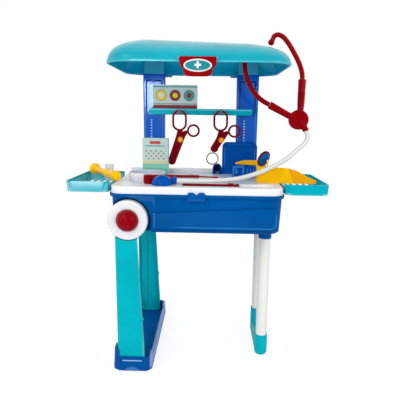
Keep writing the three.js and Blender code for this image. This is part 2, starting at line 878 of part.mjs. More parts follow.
function makeTray() {
  const x = caseWidth / 2 - traySetback;
  const y = caseDepth / 2 - traySetback;
  const skirt = deckTop - trayHeight;
  const outer = loft([
    ring(x, y, caseCorner, skirt), ring(x, y, caseCorner, deckTop - trayEdge),
    ring(x - trayEdge / 3, y - trayEdge / 3, caseCorner - trayEdge / 3, deckTop - trayEdge / 3),
    ring(x - trayEdge, y - trayEdge, caseCorner - trayEdge, deckTop)]);
  const hollow = loft([
    ring(x - trayWall, y - trayWall, caseCorner - trayWall, skirt - overrun),
    ring(x - trayWall, y - trayWall, caseCorner - trayWall, deckTop - trayWall)]);
  const ledge = loft([
    ring(x - ledgeSetback, ledgeDepth / 2, wellCorner, deckTop - trayWall, 0, ledgeBack - ledgeDepth / 2),
    ring(x - ledgeSetback, ledgeDepth / 2, wellCorner, ledgeTop, 0, ledgeBack - ledgeDepth / 2)]);
  const cup = turned([
    [0, -bowlDepth - trayWall], [bowlFloorRadius + trayWall, -bowlDepth - trayWall],
    [bowlRadius + trayWall - bowlFlare, -bowlDepth / 2], [bowlRadius + trayWall, bowlRise],
    [bowlRadius, bowlRise], [0, bowlRise]]).translate(bowlX, bowlY, deckTop);
  const cupHole = turned([
    [0, -bowlDepth], [bowlFloorRadius, -bowlDepth], [bowlRadius - bowlFlare, -bowlDepth / 2],
    [bowlRadius, bowlRise], [bowlRadius, bowlRise + overrun], [0, bowlRise + overrun]])
    .translate(bowlX, bowlY, deckTop);
  let body = solid(outer).subtract(solid(hollow)).add(solid(ledge)).add(solid(cup));
  body = body.add(solid(tub(channelLeft, channelRight, channelFront, channelBack, channelDepth, trayWall)));
  body = body.add(solid(tub(wellLeft, wellRight, wellFront, wellBack, wellDepth, trayWall)));
  body = body.subtract(solid(cupHole));
  const raise = tub(channelLeft, channelRight, channelFront, channelBack, channelDepth, 0);
  const well = tub(wellLeft, wellRight, wellFront, wellBack, wellDepth, 0);
  body = body.subtract(solid(lifted(raise))).subtract(solid(lifted(well)));
  for (const side of [-1, 1]) {
    body = body.subtract(solid(postFoot(side, fit)));
    for (const tongueY of tonguePlaces()) {
      body = body.subtract(solid(tongue(side, tongueY, fit)));
    }
  }
  place('tray_insert', body, white);
}

// The same tub run on above the deck, so that its cut leaves no film
function lifted(geometry) {
  const copy = geometry.clone();
  const z = copy.attributes.position;
  for (let k = 0; k < z.count; k += 1) {
    if (z.getZ(k) >= deckTop) z.setZ(k, deckTop + overrun);
  }
  return copy;
}

// Posts: tapered columns with an inset panel above the shelf, a raised rib below it and a tenon on top
function postFoot(side, grow) {
  const half = postWidth / 2 - postFlare + grow;
  return block(side * postCentre - half, side * postCentre + half,
    postFaceY - grow, postFaceY + postDepth + grow, ledgeTop - postFootDepth, ledgeTop + overrun);
}

function makePost(label, side) {
  const centreX = side * postCentre;
  const centreY = postFaceY + postDepth / 2;
  const half = postWidth / 2;
  const body = solid(loft([
    ring(half - postFlare, postDepth / 2, postCorner, ledgeTop - postFootDepth + fit, centreX, centreY),
    ring(half, postDepth / 2, postCorner, postTop, centreX, centreY)]));
  const panel = slabY(roundedRect(centreX - postPanelWidth / 2, shelfZ,
    centreX + postPanelWidth / 2, postTop - postPanelTopMargin, postPanelCorner),
  postFaceY - overrun, postFaceY + postPanelDepth);
  const ribX = centreX - postRibShift;
  const rib = slabY(roundedRect(ribX - postRibWidth / 2, postRibBottom, ribX + postRibWidth / 2,
    postRibTop, postRibWidth * capShare), postFaceY - postRibProud, postFaceY + postPanelDepth);
  const tenon = block(centreX - tenonWidth / 2, centreX + tenonWidth / 2,
    centreY - tenonDepth / 2, centreY + tenonDepth / 2, postTop - overrun, postTop + tenonHeight);
  place(`post_${label}`, body.subtract(solid(panel)).add(solid(rib)).add(solid(tenon)), postBlue);
}

// Shelf bar across the posts, with two hooks on its front
function makeShelf() {
  const back = postFaceY - fit;
  const reach = postCentre + shelfReach;
  const bar = slabY(roundedRect(-reach, shelfZ, reach, shelfZ + shelfHeight, shelfHeight * capShare),
    back - shelfDepth, back);
  const seat = block(-reach + shelfHeight / 2, reach - shelfHeight / 2, back - shelfDepth + shelfLip,
    back - shelfLip, shelfZ + shelfHeight - shelfLip, shelfZ + shelfHeight + overrun);
  const body = solid(bar).subtract(solid(seat));
  place('shelf_bar', body, teal);
  for (const [label, side] of [['left', -1], ['right', 1]]) {
    const front = back - shelfDepth - fit;
    const z = shelfZ + hookDrop;
    const x = side * hookSpread;
    const peg = rodY(hookRadius, x, front - hookReach, front, z, smallSides);
    const head = rodY(hookHeadRadius, x, front - hookReach, front - hookReach + hookHeadThickness,
      z + hookHeadRadius - hookRadius, smallSides);
    place(`hook_${label}`, join(peg, head), grey);
  }
}

// Canopy: the domed lid, open below, with a lip, post sockets and two hinge tabs
function canopyRing(inset, z, wall) {
  const halfX = canopyWidth / 2 - inset - wall;
  const halfY = canopyDepth / 2 - inset - wall;
  const corner = Math.min(canopyCorner - wall, halfY * canopyCornerShare);
  return ring(halfX, halfY, corner, z).map(leaned);
}

// The dome is a little higher over the wheels than over the handle
function leaned(point) {
  const lean = 1 - canopyLeanShare * point.x / (canopyWidth / 2);
  return point.setZ(canopyRim + (point.z - canopyRim) * lean);
}

function canopyLoft(wall) {
  const deepest = canopyDepth / 2;
  const rings = [];
  const foot = wall > 0 ? canopyRim - overrun : canopyRim;
  rings.push(canopyRing(0, foot, wall));
  if (wall === 0) {
    rings.push(canopyRing(-canopyLipProud, canopyRim + canopyLipProud, wall));
    rings.push(canopyRing(-canopyLipProud, canopyRim + canopyLipHeight, wall));
    rings.push(canopyRing(0, canopyRim + canopyLipHeight + canopyLipProud, wall));
  }
  canopyRiseShares.forEach((rise, k) => {
    rings.push(canopyRing(canopyInsetShares[k] * deepest, canopyRim + canopyHeight * rise - wall, wall));
  });
  return loft(rings);
}

function makeCanopy() {
  const outer = solid(canopyLoft(0));
  let body = outer.subtract(solid(canopyLoft(canopyWall)));
  const centreY = postFaceY + postDepth / 2;
  const roof = canopyRim + canopyHeight + 2 * overrun;
  for (const side of [-1, 1]) {
    const x = side * postCentre;
    const socket = block(x - socketWidth / 2, x + socketWidth / 2, centreY - socketDepth / 2,
      centreY + socketDepth / 2, postTop + fit, roof);
    const hole = block(x - tenonWidth / 2 - fit, x + tenonWidth / 2 + fit,
      centreY - tenonDepth / 2 - fit, centreY + tenonDepth / 2 + fit,
      canopyRim - overrun, postTop + tenonHeight + fit);
    const backY = canopyDepth / 2;
    const tab = block(side * tabCentre - tabWidth / 2, side * tabCentre + tabWidth / 2,
      backY - tabThickness, backY, canopyRim - tabDrop, canopyRim - tabDrop + tabHeight);
    const lugX = side * (latchWidth / 2 + fit + latchLugWidth / 2);
    const lug = block(lugX - latchLugWidth / 2, lugX + latchLugWidth / 2, -latchFaceY(), -canopyDepth / 2,
      latchPinZ() - latchLugHeight / 2, latchPinZ() + latchLugHeight / 2);
    body = body.add(solid(socket).intersect(outer)).subtract(solid(hole));
    body = body.add(solid(tab)).add(solid(lug));
  }
  const bore = rodX(latchPinRadius + fit, -latchWidth, latchWidth, latchPinY(), latchPinZ(), tubeSides);
  body = body.subtract(solid(bore));
  place('canopy_shell', body, teal);
}

// Latch: a tapered plate on a pin at the canopy front, with an oval badge
function latchFaceY() {
  return canopyDepth / 2 + canopyLipProud + fit + latchThickness;
}

function latchPinY() {
  return -(latchFaceY() - latchThickness / 2);
}

function latchPinZ() {
  return canopyRim + latchTopRise - latchThickness / 2;
}

function latchOutline() {
  const top = latchPinZ();
  const bottom = canopyRim + latchTopRise - latchHeight;
  const half = latchWidth / 2;
  const low = latchBottomWidth / 2;
  const shape = new THREE.Shape();
  shape.moveTo(-half, top);
  shape.lineTo(-half, top - latchHeight / 3);
  shape.lineTo(-low, bottom + latchCorner);
  shape.quadraticCurveTo(-low, bottom, -low + latchCorner, bottom);
  shape.lineTo(low - latchCorner, bottom);
  shape.quadraticCurveTo(low, bottom, low, bottom + latchCorner);
  shape.lineTo(half, top - latchHeight / 3);
  shape.lineTo(half, top);
  return shape;
}

function makeLatch() {
  const face = -latchFaceY();
  const knuckle = rodX(latchThickness / 2, -latchWidth / 2, latchWidth / 2, latchPinY(), latchPinZ(), smallSides);
  const plate = join(slabY(latchOutline(), face, face + latchThickness), knuckle);
  const bore = rodX(latchPinRadius + fit, -latchWidth, latchWidth, latchPinY(), latchPinZ(), tubeSides);
  place('latch_plate', plate.subtract(solid(bore)), red);
  const pinReach = latchWidth / 2 + fit + latchLugWidth;
  place('latch_pin', rodX(latchPinRadius, -pinReach, pinReach, latchPinY(), latchPinZ(), tubeSides), steel);
  const centreZ = canopyRim + latchTopRise - badgeDrop - badgeHeight / 2;
  const front = face - fit;
  place('badge_rim', slabY(oval(badgeWidth, badgeHeight, centreZ), front - badgeThickness, front), white);
  const inner = oval(badgeWidth - 2 * badgeRim, badgeHeight - 2 * badgeRim, centreZ);
  const fieldBack = front - badgeThickness - fit;
  place('badge_field', slabY(inner, fieldBack - badgeThickness / 2, fieldBack), jade);
}

function oval(width, height, centreZ) {
  const points = new THREE.EllipseCurve(0, centreZ, width / 2, height / 2).getPoints(roundSides);
  points.pop();
  return new THREE.Shape(points);
}

// Side trays: shallow slotted trays that hang on the case by two tongues each
function tonguePlaces() {
  return [wingFront + tongueInset, wingBack - tongueInset];
}

function tongue(side, centreY, grow) {
  const inner = caseWidth / 2 - traySetback - tongueReach / 2;
  const outer = caseWidth / 2 + wingWall;
  const z = caseRim + fit + tongueRise;
  const [fromX, toX] = side < 0 ? [-outer, -inner + grow] : [inner - grow, outer];
  return block(fromX, toX, centreY - tongueWidth / 2 - grow, centreY + tongueWidth / 2 + grow,
    z - grow, z + tongueThickness + grow);
}

function makeWing(label, side) {
  const halfX = wingReach / 2;
  const halfY = wingLength / 2;
  const x = side * (caseWidth / 2 + fit + halfX);
  const y = wingFront + halfY;
  const floor = caseRim + wingWall;
  const rim = caseRim + wingHeight;
  let body = solid(loft([
    ring(halfX - wingFlare, halfY - wingFlare, wingCorner - wingFlare, caseRim, x, y),
    ring(halfX, halfY, wingCorner, rim - wingFlare, x, y),
    ring(halfX, halfY, wingCorner, rim, x, y),
    ring(halfX - wingWall, halfY - wingWall, wingCorner - wingWall, rim, x, y),
    ring(halfX - wingWall - wingFlare, halfY - wingWall - wingFlare, wingCorner - wingWall - wingFlare,
      floor, x, y)]));
  const pitch = (wingReach - 2 * wingSlotMargin) / (wingSlotCount - 1);
  for (let k = 0; k < wingSlotCount; k += 1) {
    const slotX = x - halfX + wingSlotMargin + k * pitch;
    const slot = slabZ(roundedRect(slotX - wingSlotWidth / 2, y - halfY + wingSlotMargin,
      slotX + wingSlotWidth / 2, y + halfY - wingSlotMargin, wingSlotWidth * capShare),
    caseRim - overrun, floor + overrun, slotSteps);
    body = body.subtract(solid(slot));
  }
  const inner = side * (caseWidth / 2 + fit);
  const deep = inner + side * (wingWall + wingFlare);
  const low = block(Math.min(inner, deep) - fit, Math.max(inner, deep) + fit,
    y - halfY + wingCorner, y + halfY - wingCorner, rim - wingInnerDrop, rim + overrun);
  body = body.subtract(solid(low));
  for (const centreY of tonguePlaces()) body = body.add(solid(tongue(side, centreY, 0)));
  place(`wing_${label}`, body, teal);
}

// Scissors and clamp: two flat halves with finger loops, on a round rivet
function stadium(width, height, centreX, centreZ) {
  return roundedRect(centreX - width / 2, centreZ - height / 2, centreX + width / 2,
    centreZ + height / 2, width * capShare);
}

function bladeOutline(topX, topZ, length, lean) {
  const half = bladeWidth / 2;
  const tip = bladeTipWidth / 2;
  const shape = new THREE.Shape();
  shape.moveTo(-half, rivetRadius);
  shape.lineTo(-lean - tip, -length + tip);
  shape.absarc(-lean, -length + tip, tip, Math.PI, 2 * Math.PI);
  shape.lineTo(half, rivetRadius);
  shape.lineTo(topX + half / 2, topZ);
  shape.lineTo(topX - half / 2, topZ);
  return shape;
}

function makeTool(name, side, length, lean) {
  const front = postFaceY - shelfDepth - hookReach + hookHeadThickness + 2 * toolGap;
  const layers = [front, front + bladeThickness + toolGap];
  const hookX = side * hookSpread;
  const hookZ = shelfZ + hookDrop;
  const group = new THREE.Group();
  group.position.set(hookX - loopX, 0, hookZ + hookRadius + toolGap + loopBand - loopHeight / 2 - loopZ);
  toy.add(group);
  const [farY, nearY] = [layers[1], layers[0]];
  const loop = solid(slabY(stadium(loopWidth, loopHeight, loopX, loopZ), nearY, nearY + bladeThickness));
  const loopHole = solid(slabY(stadium(loopWidth - 2 * loopBand, loopHeight - 2 * loopBand, loopX, loopZ),
    nearY - overrun, nearY + overrun));
  const bladeA = solid(slabY(bladeOutline(loopX / 2, loopZ - loopHeight / 2 + loopBand / 2, length, lean),
    nearY, nearY + bladeThickness));
  const eye = solid(rodY(eyeRadius, eyeX, farY, farY + bladeThickness, eyeZ, smallSides));
  const eyeHole = solid(rodY(eyeRadius - loopBand, eyeX, farY - overrun, farY + overrun, eyeZ, smallSides));
  const bladeB = solid(slabY(bladeOutline(eyeX - eyeRadius, eyeZ, length, lean), farY, farY + bladeThickness));
  const pinHole = solid(rodY(rivetPinRadius + fit, 0, nearY - overrun, farY + overrun, 0, smallSides));
  place(`${name}_front_half`, loop.add(bladeA).subtract(loopHole).subtract(pinHole), darkRed, group);
  place(`${name}_rear_half`, bladeB.add(eye).subtract(eyeHole).subtract(pinHole), darkRed, group);
  const rivet = join(
    rodY(rivetRadius, 0, nearY - fit - rivetHead, nearY - fit, 0, smallSides),
    rodY(rivetPinRadius, 0, nearY - fit - rivetHead / 2, farY + bladeThickness, 0, smallSides));
  place(`${name}_rivet`, rivet, orange, group);
  return { group, nearY, length, lean };
}

function makeJawRing({ group, nearY, length, lean }) {
  const reach = bladeTipWidth / 2 + jawRingRadius + fit;
  const x = -lean - reach * jawRingLeanShare;
  const z = bladeTipWidth / 2 - length - reach * Math.sqrt(1 - jawRingLeanShare ** 2);
  const hoop = solid(rodY(jawRingRadius, x, nearY, nearY + bladeThickness, z));
  const hole = solid(rodY(jawRingRadius - jawRingBand, x, nearY - overrun, nearY + overrun, z));
  place('clamp_ring', hoop.subtract(hole), grey, group);
}

// Play medicine boxes and the blue holder against the right post
function makeBoxes() {
  const shelfTop = shelfZ + shelfHeight - shelfLip + fit;
  const middle = postFaceY - fit - shelfDepth / 2;
  place('medicine_box_shelf', block(-postCentre, boxLength - postCentre, middle - boxDepth / 2,
    middle + boxDepth / 2, shelfTop, shelfTop + boxHeight), card);
  const foot = deckTop + fit;
  place('medicine_box_tray', block(standBoxX - standBoxWidth / 2, standBoxX + standBoxWidth / 2,
    standBoxY - standBoxDepth / 2, standBoxY + standBoxDepth / 2, foot, foot + standBoxHeight), card);
}

function holderOutline(inset, top) {
  const right = holderLeft + holderWidth;
  const foot = deckTop + fit;
  const shape = new THREE.Shape();
  shape.moveTo(holderLeft + inset, foot + inset);
  shape.lineTo(right - inset, foot + inset);
  shape.lineTo(right - inset, top - holderCorner);
  shape.absarc(right - holderCorner, top - holderCorner, holderCorner - inset, 0, Math.PI / 2);
  shape.lineTo(holderLeft + holderCorner, top - inset);
  shape.absarc(holderLeft + holderCorner, top - holderCorner, holderCorner - inset, Math.PI / 2, Math.PI);
  return shape;
}

function makeHolder() {
  const top = deckTop + holderHeight;
  const backY = holderFront + holderDepth;
  const body = solid(slabY(holderOutline(0, top), holderFront, backY));
  const pocket = block(holderLeft + holderWall, holderLeft + holderWidth - holderWall,
    holderFront + holderWall, backY - holderWall, deckTop + fit + holderWall, top + overrun);
  const frame = solid(slabY(holderOutline(2 * holderRim, top),
    holderFront - overrun, holderFront + holderRim / 2));
  place('card_holder', body.subtract(solid(pocket)).subtract(frame), blue);
}

// Instruments: ear cone, scope, hammer and probe
function archOutline(width, height, inset) {
  const half = width / 2 - inset;
  const shape = new THREE.Shape();
  shape.moveTo(coneX - half, deckTop + fit + inset);
  shape.lineTo(coneX + half, deckTop + fit + inset);
  shape.lineTo(coneX + half, deckTop + fit + height - width / 2);
  shape.absarc(coneX, deckTop + fit + height - width / 2, half, 0, Math.PI);
  return shape;
}

function makeCone() {
  const outer = slabY(archOutline(coneWidth, coneHeight, 0), coneY, coneY + coneLength);
  const inner = slabY(archOutline(coneWidth, coneHeight, coneWall), coneY - overrun,
    coneY + coneLength - coneWall);
  place('ear_cone', solid(outer).subtract(solid(inner)), blue);
}

function makeScope() {
  const foot = deckTop + fit;
  const section = roundedRect(scopeY, foot, scopeY + scopeDepth, foot + scopeHeight, scopeCorner);
  const body = slabX(section, scopeX, scopeX + scopeLength);
  const nose = rodX(scopeNoseRadius, scopeX + scopeLength - scopeFrame,
    scopeX + scopeLength + scopeNoseLength, scopeY + scopeDepth / 2, foot + scopeHeight / 2);
  const window = slabY(roundedRect(scopeX + 2 * scopeFrame, foot + scopeFrame,
    scopeX + scopeLength - 2 * scopeFrame, foot + scopeHeight - 2 * scopeFrame, scopeFrame),
  scopeY - overrun, scopeY + scopeFrame / 2);
  place('scope_body', join(body, nose).subtract(solid(window)), blue);
}

function makeHammer() {
  const foot = deckTop + fit;
  const head = turned([
    [0, foot], [hammerHeadRadius - hammerBevel, foot], [hammerHeadRadius, foot + hammerBevel],
    [hammerHeadRadius, foot + hammerHeadHeight - hammerBevel],
    [hammerHeadRadius - hammerBevel, foot + hammerHeadHeight], [0, foot + hammerHeadHeight],
  ]).translate(hammerX, hammerY, 0);
  const neck = [hammerX, hammerY, foot + hammerHeadHeight - hammerShaftRadius];
  const heel = [hammerX + hammerSpan, hammerY + hammerDepth, foot + hammerShaftRadius];
  const tip = [heel[0] + hammerTipLength, heel[1], foot + hammerTipRadius];
  const shaft = taperRod(hammerShaftRadius, hammerShaftRadius, neck, heel);
  const point = taperRod(hammerTipRadius, hammerTipRadius, heel, tip);
  place('reflex_hammer', join(head, shaft, point), red);
}

function makeProbe() {
  const collarEnd = probeLength - probeCollarLength;
  const collarStart = collarEnd - probeCollarLength;
  const bulb = probeLength - 2 * probeBulbRadius;
  const stick = turned([
    [0, 0], [probeRadius, 0], [probeRadius, collarStart], [probeCollarRadius, collarStart],
    [probeCollarRadius, collarEnd], [probeRadius, collarEnd], [probeRadius, bulb],
    [probeBulbRadius, bulb + probeBulbRadius / 2], [probeBulbRadius, bulb + probeBulbRadius],
    [probeRadius, probeLength], [0, probeLength]], tubeSides);
  place('thermometer', stick.rotateY(Math.PI / 2)
    .translate(probeLeft, probeY, deckTop - channelDepth + fit + probeCollarRadius), darkRed);
}

// Head mirror: a dished disc on a pin, and its long curved band
function bandCurve(pick) {
  return new THREE.CatmullRomCurve3(bandPlanShares.map((row) => new THREE.Vector3(...pick(row))));
}

function bandPlan() {
  return bandCurve(([x, y]) => [bandLeft + x * bandSpan, bandFront + y * bandDepth, 0]);
}

function makeBand() {
  const plan = bandPlan();
  const edge = bandCurve(([x, , low, high]) => [x, low * bandHeight, high * bandHeight]);
  const steps = 2 * bandPlanShares.length;
  const foot = deckTop + fit;
  const rings = [];
  for (let k = 0; k <= steps; k += 1) {
    const at = plan.getPoint(k / steps);
    const along = plan.getTangent(k / steps);
    const across = new THREE.Vector3(-along.y, along.x, 0).multiplyScalar(bandThickness / 2);
    const { y: low, z: high } = edge.getPoint(k / steps);
    rings.push([
      new THREE.Vector3(at.x + across.x, at.y + across.y, foot + low),
      new THREE.Vector3(at.x + across.x, at.y + across.y, foot + high),
      new THREE.Vector3(at.x - across.x, at.y - across.y, foot + high),
      new THREE.Vector3(at.x - across.x, at.y - across.y, foot + low)]);
  }
  const ball = mirrorBall();
  const knob = new THREE.SphereGeometry(mirrorBallRadius, tubeSides, tubeSides / 2)
    .translate(ball.x, ball.y, ball.z);
  const stem = taperRod(mirrorStemRadius, mirrorStemRadius,
    [ball.x, ball.y, foot + bandHeight - overrun], ball.toArray());
  place('mirror_band', join(loft(rings), stem, knob), yellow);
}

// The centre of the ball on the band's edge that the disc tilts on
function mirrorBall() {
  return bandPlan().getPoint(mirrorPlaceShare).setZ(deckTop + fit + bandHeight + mirrorRise);
}

function makeMirror() {
  const group = new THREE.Group();
  const normal = new THREE.Vector3(...mirrorNormalShares).normalize();
  group.position.copy(mirrorBall()).addScaledVector(normal, mirrorDome + fit + mirrorBallRadius);
  group.quaternion.setFromUnitVectors(new THREE.Vector3(0, 0, 1), normal);
  toy.add(group);
  const face = turned([
    [0, 0], [mirrorRadius, 0], [mirrorRadius, mirrorThickness], [0, mirrorThickness]]);
  const back = [[0, -mirrorDome]];
  for (let step = 1; step <= cornerSteps; step += 1) {
    const angle = step / cornerSteps * Math.PI / 2;
    back.push([(mirrorRadius - mirrorThickness) * Math.sin(angle), fit * (Math.cos(angle) - 1)
      - mirrorDome * Math.cos(angle)]);
  }
  place('mirror_face', face, darkRed, group);
  place('mirror_back', turned([...back, [0, -fit]]), blue, group);
}

// Stethoscope: chest piece on the tray, headset over the canopy edge, and the soft tube between them
const cordSteps = 28;
const cordShares = [
  [0, 0, 0], [0.098, 0.008, 0], [0.196, 0.03, 0.003], [0.286, 0.06, 0.0135], [0.384, 0.0986, 0.028],
  [0.478, 0.141, 0.0616], [0.645, 0.268, 0.196], [0.826, 0.493, 0.427], [0.9275, 0.718, 0.629],
  [0.9928, 0.887, 0.764], [1.0145, 0.965, 0.88], [1, 1, 1]];
const cordStart = [chestX + chestSpoutReach, chestY + chestSpoutBack, deckTop + fit + chestSpoutRise];
const cordEnd = [yokeX + cordEndRight, yokeY - cordEndForward, yokeZ - cordEndDrop];
const cordPoints = cordShares.map((share) => (
  cordStart.map((from, axis) => from + share[axis] * (cordEnd[axis] - from))));

function makeChestPiece() {
  const foot = deckTop + fit;
  const profile = [[0, foot], [chestRadius, foot], [chestRadius, foot + chestRimHeight]];
  for (let step = 1; step < cornerSteps; step += 1) {
    const angle = step / cornerSteps * Math.PI / 2;
    profile.push([chestTopRadius + (chestRadius - chestTopRadius) * Math.cos(angle),
      foot + chestHeight * Math.sin(angle)]);
  }
  profile.push([chestTopRadius, foot + chestHeight], [0, foot + chestHeight]);
  const dome = turned(profile).translate(chestX, chestY, 0);
  const start = cordPoints[0];
  const spout = rodX(chestSpoutRadius, chestX, start[0] - fit, start[1], start[2]);
  place('chest_piece', join(dome, spout), blue);
}

function makeCord() {
  place('stethoscope_tube', sweep(circle(cordRadius), cordPoints, cordSteps), tubeWhite);
}

function fromYoke([x, y, z]) {
  return [yokeX + x * earSpan, yokeY + y * earSpan, yokeZ + z * earSpan];
}

// A point moved towards another one by a distance
function toward(from, to, distance) {
  const start = new THREE.Vector3(...from);
  const step = new THREE.Vector3(...to).sub(start).setLength(distance);
  return start.add(step).toArray();
}

function earTube(points) {
  const start = toward(points[0], points[1], earGap);
  return sweep(circle(earTubeRadius), [start, ...points.slice(1)], 2 * points.length);
}

// A soft round bud on the end of an ear tube
function earTip(points) {
  const [before, end] = points.slice(-2);
  const along = new THREE.Vector3(...end).sub(new THREE.Vector3(...before)).normalize();
  const turn = new THREE.Quaternion().setFromUnitVectors(new THREE.Vector3(0, 0, 1), along);
  const bud = turned([
    [0, earGap], [earTubeRadius, earGap], [earTipRadius, earTipLength / 2],
    [earTubeRadius, earTipLength], [0, earTipLength]], tubeSides);
  return bud.applyQuaternion(turn).translate(...end);
}

function makeHeadset() {
  const centre = [yokeX, yokeY, yokeZ];
  const disc = rodY(yokeRadius, yokeX, yokeY - yokeThickness / 2, yokeY + yokeThickness / 2, yokeZ);
  const [before, end] = cordPoints.slice(-2);
  const stubFoot = toward(end, before, -earGap);
  const stubTop = toward(end, before, -yokeNeckStub);
  const stub = taperRod(yokeNeckRadius, yokeNeckRadius, stubFoot, stubTop);
  const neck = taperRod(yokeNeckRadius, yokeNeckRadius, stubTop, centre);
  const earOne = earOneShares.map(fromYoke);
  const earTwo = earTwoShares.map(fromYoke);
  const footOne = fromYoke(collarOneShare);
  const footTwo = fromYoke(collarTwoShare);
  const armOne = taperRod(earCollarRadius, earCollarRadius, centre, footOne);
  const armTwo = taperRod(earCollarRadius, earCollarRadius, centre, footTwo);
  const collarOne = taperRod(earCollarRadius, earCollarRadius + earCollarLip, footOne, earOne[0]);
  const collarTwo = taperRod(earCollarRadius, earCollarRadius + earCollarLip, footTwo, earTwo[0]);
  place('stethoscope_yoke', join(disc, stub, neck, armOne, armTwo, collarOne, collarTwo), red);
  place('ear_tube_outer', earTube(earOne), red);
  place('ear_tube_inner', earTube(earTwo), red);
  place('ear_tip_outer', earTip(earOne), red);
  place('ear_tip_inner', earTip(earTwo), red);
}

// Syringe: a barrel with a collar and nose, and a plunger with a round knob
function makeSyringe() {
  const nose = new THREE.Vector3(syringeNoseX, syringeNoseY, deckTop + fit + syringeNoseRadius);
  const knob = new THREE.Vector3(syringeKnobX, syringeKnobY, nose.z + syringeKnobLift);
  const along = knob.clone().sub(nose);
  const total = along.length();
  const group = new THREE.Group();
  group.position.copy(nose);
  group.quaternion.setFromUnitVectors(new THREE.Vector3(0, 0, 1), along.normalize());
  toy.add(group);
  const bore = syringeRodRadius + fit;
  const diagonal = Math.SQRT1_2;
  const floor = syringeNoseRadius * diagonal;
  const barrel = turned([
    [0, -syringeNoseRadius], [syringeNoseRadius * diagonal, -syringeNoseRadius * diagonal],
    [syringeNoseRadius, 0], [syringeBarrelRadius, floor],
    [syringeBarrelRadius, syringeBarrelLength - syringeCollarRadius],
    [syringeCollarRadius, syringeBarrelLength - syringeCollarRadius / 2],
    [syringeBarrelRadius, syringeBarrelLength], [bore, syringeBarrelLength], [bore, floor], [0, floor]],
  smallSides);
  place('syringe_barrel', barrel, yellow, group);
  const rodFoot = floor + fit + syringeStroke;
  const ball = syringeKnobRadius * diagonal;
  const plunger = turned([
    [0, rodFoot], [syringeRodRadius, rodFoot], [syringeRodRadius, total - ball], [ball, total - ball],
    [syringeKnobRadius, total], [ball, total + ball], [0, total + syringeKnobRadius]], smallSides);
  place('syringe_plunger', plunger, yellow, group);
}

function makeFlask() {
  const foot = caseRim + wingWall + fit;
  const flask = turned([
    [0, foot], [flaskRadius, foot], [flaskRadius, foot + flaskHeight],
    [flaskRadius - flaskWall, foot + flaskHeight], [flaskRadius - flaskWall, foot + flaskWall],
    [0, foot + flaskWall]], smallSides).translate(flaskX, flaskY, 0);
  place('flask', flask, clear);
}

makeCase();
makeCatch();
makeTray();
makeWheels();
makeArm('front', -1);
makeArm('rear', 1);
makeBase();
makeHandle();
makePost('left', -1);
makePost('right', 1);
makeShelf();
makeCanopy();
makeLatch();
makeWing('left', -1);
makeWing('right', 1);
makeTool('scissors', -1, bladeLength, bladeLean);
makeJawRing(makeTool('clamp', 1, bladeLength * clampEndShare, bladeLean * clampLeanShare));
makeBoxes();
makeHolder();
makeCone();
makeScope();
makeHammer();
makeProbe();
makeBand();
makeMirror();
makeChestPiece();
makeCord();
makeHeadset();
makeSyringe();
makeFlask();

export default toy;
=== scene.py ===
# Looks of the toy doctor case: materials, finer pieces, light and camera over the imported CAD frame.
# Sizes are written in millimetres and turned into metres as each piece is made, apart from those that a
# comment gives in metres.
import json
import math

import bmesh
import bpy
from mathutils import Matrix, Vector


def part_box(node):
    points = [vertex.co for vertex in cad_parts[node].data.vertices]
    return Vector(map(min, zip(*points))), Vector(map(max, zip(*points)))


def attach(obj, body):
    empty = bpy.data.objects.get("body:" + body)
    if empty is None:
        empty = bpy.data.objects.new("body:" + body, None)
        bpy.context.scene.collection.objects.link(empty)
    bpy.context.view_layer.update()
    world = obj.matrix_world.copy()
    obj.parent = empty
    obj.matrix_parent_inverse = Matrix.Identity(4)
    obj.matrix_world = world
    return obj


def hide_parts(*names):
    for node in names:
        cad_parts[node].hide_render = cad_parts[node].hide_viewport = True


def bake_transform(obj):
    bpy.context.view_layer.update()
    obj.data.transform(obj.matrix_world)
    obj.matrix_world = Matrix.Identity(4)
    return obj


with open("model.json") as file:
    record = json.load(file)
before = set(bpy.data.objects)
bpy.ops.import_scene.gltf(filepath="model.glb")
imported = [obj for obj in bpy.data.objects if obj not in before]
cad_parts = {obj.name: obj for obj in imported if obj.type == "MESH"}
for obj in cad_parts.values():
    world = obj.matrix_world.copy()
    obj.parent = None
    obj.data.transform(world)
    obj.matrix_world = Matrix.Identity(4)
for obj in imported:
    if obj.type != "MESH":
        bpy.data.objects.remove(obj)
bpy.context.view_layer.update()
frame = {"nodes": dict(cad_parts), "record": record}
scene = bpy.context.scene
MM = 0.001
POST_X = 116
WHEEL_X, WHEEL_Y, WHEEL_Z = -139, 131, 332
CAMERA_PLACE = (27.99, -1044.36, 537.93)
CAMERA_TURNS = (1.3, 10.2, 0.8)
CAMERA_FOCUS = 455.7
PICTURE_WIDTH = 400
SENSOR_WIDTH = 36
WHITE = (1, 1, 1, 1)


# Camera: the photograph's place, direction and roll
def make_camera():
    yaw, pitch, roll = (math.radians(a) for a in CAMERA_TURNS)
    right = Vector((math.cos(yaw), math.sin(yaw), 0))
    level = Vector((-math.sin(yaw), math.cos(yaw), 0))
    up = Vector((0, 0, 1)) * math.cos(pitch) + level * math.sin(pitch)
    ahead = level * math.cos(pitch) - Vector((0, 0, 1)) * math.sin(pitch)
    side = right * math.cos(roll) + up * math.sin(roll)
    top = up * math.cos(roll) - right * math.sin(roll)
    data = bpy.data.cameras.new("camera")
    data.sensor_width = SENSOR_WIDTH
    data.lens = CAMERA_FOCUS / PICTURE_WIDTH * SENSOR_WIDTH
    data.clip_start = 0.05
    data.clip_end = 50
    camera = bpy.data.objects.new("camera", data)
    axes = Matrix((side, top, -ahead)).transposed()
    camera.matrix_world = Matrix.Translation(Vector(CAMERA_PLACE) * MM) @ axes.to_4x4()
    scene.collection.objects.link(camera)
    scene.camera = camera


# Node helpers
def linear(colour):
    def one(c):
        c /= 255
        return c / 12.92 if c <= 0.04045 else ((c + 0.055) / 1.055) ** 2.4

    return [one(c) for c in colour] + [1]


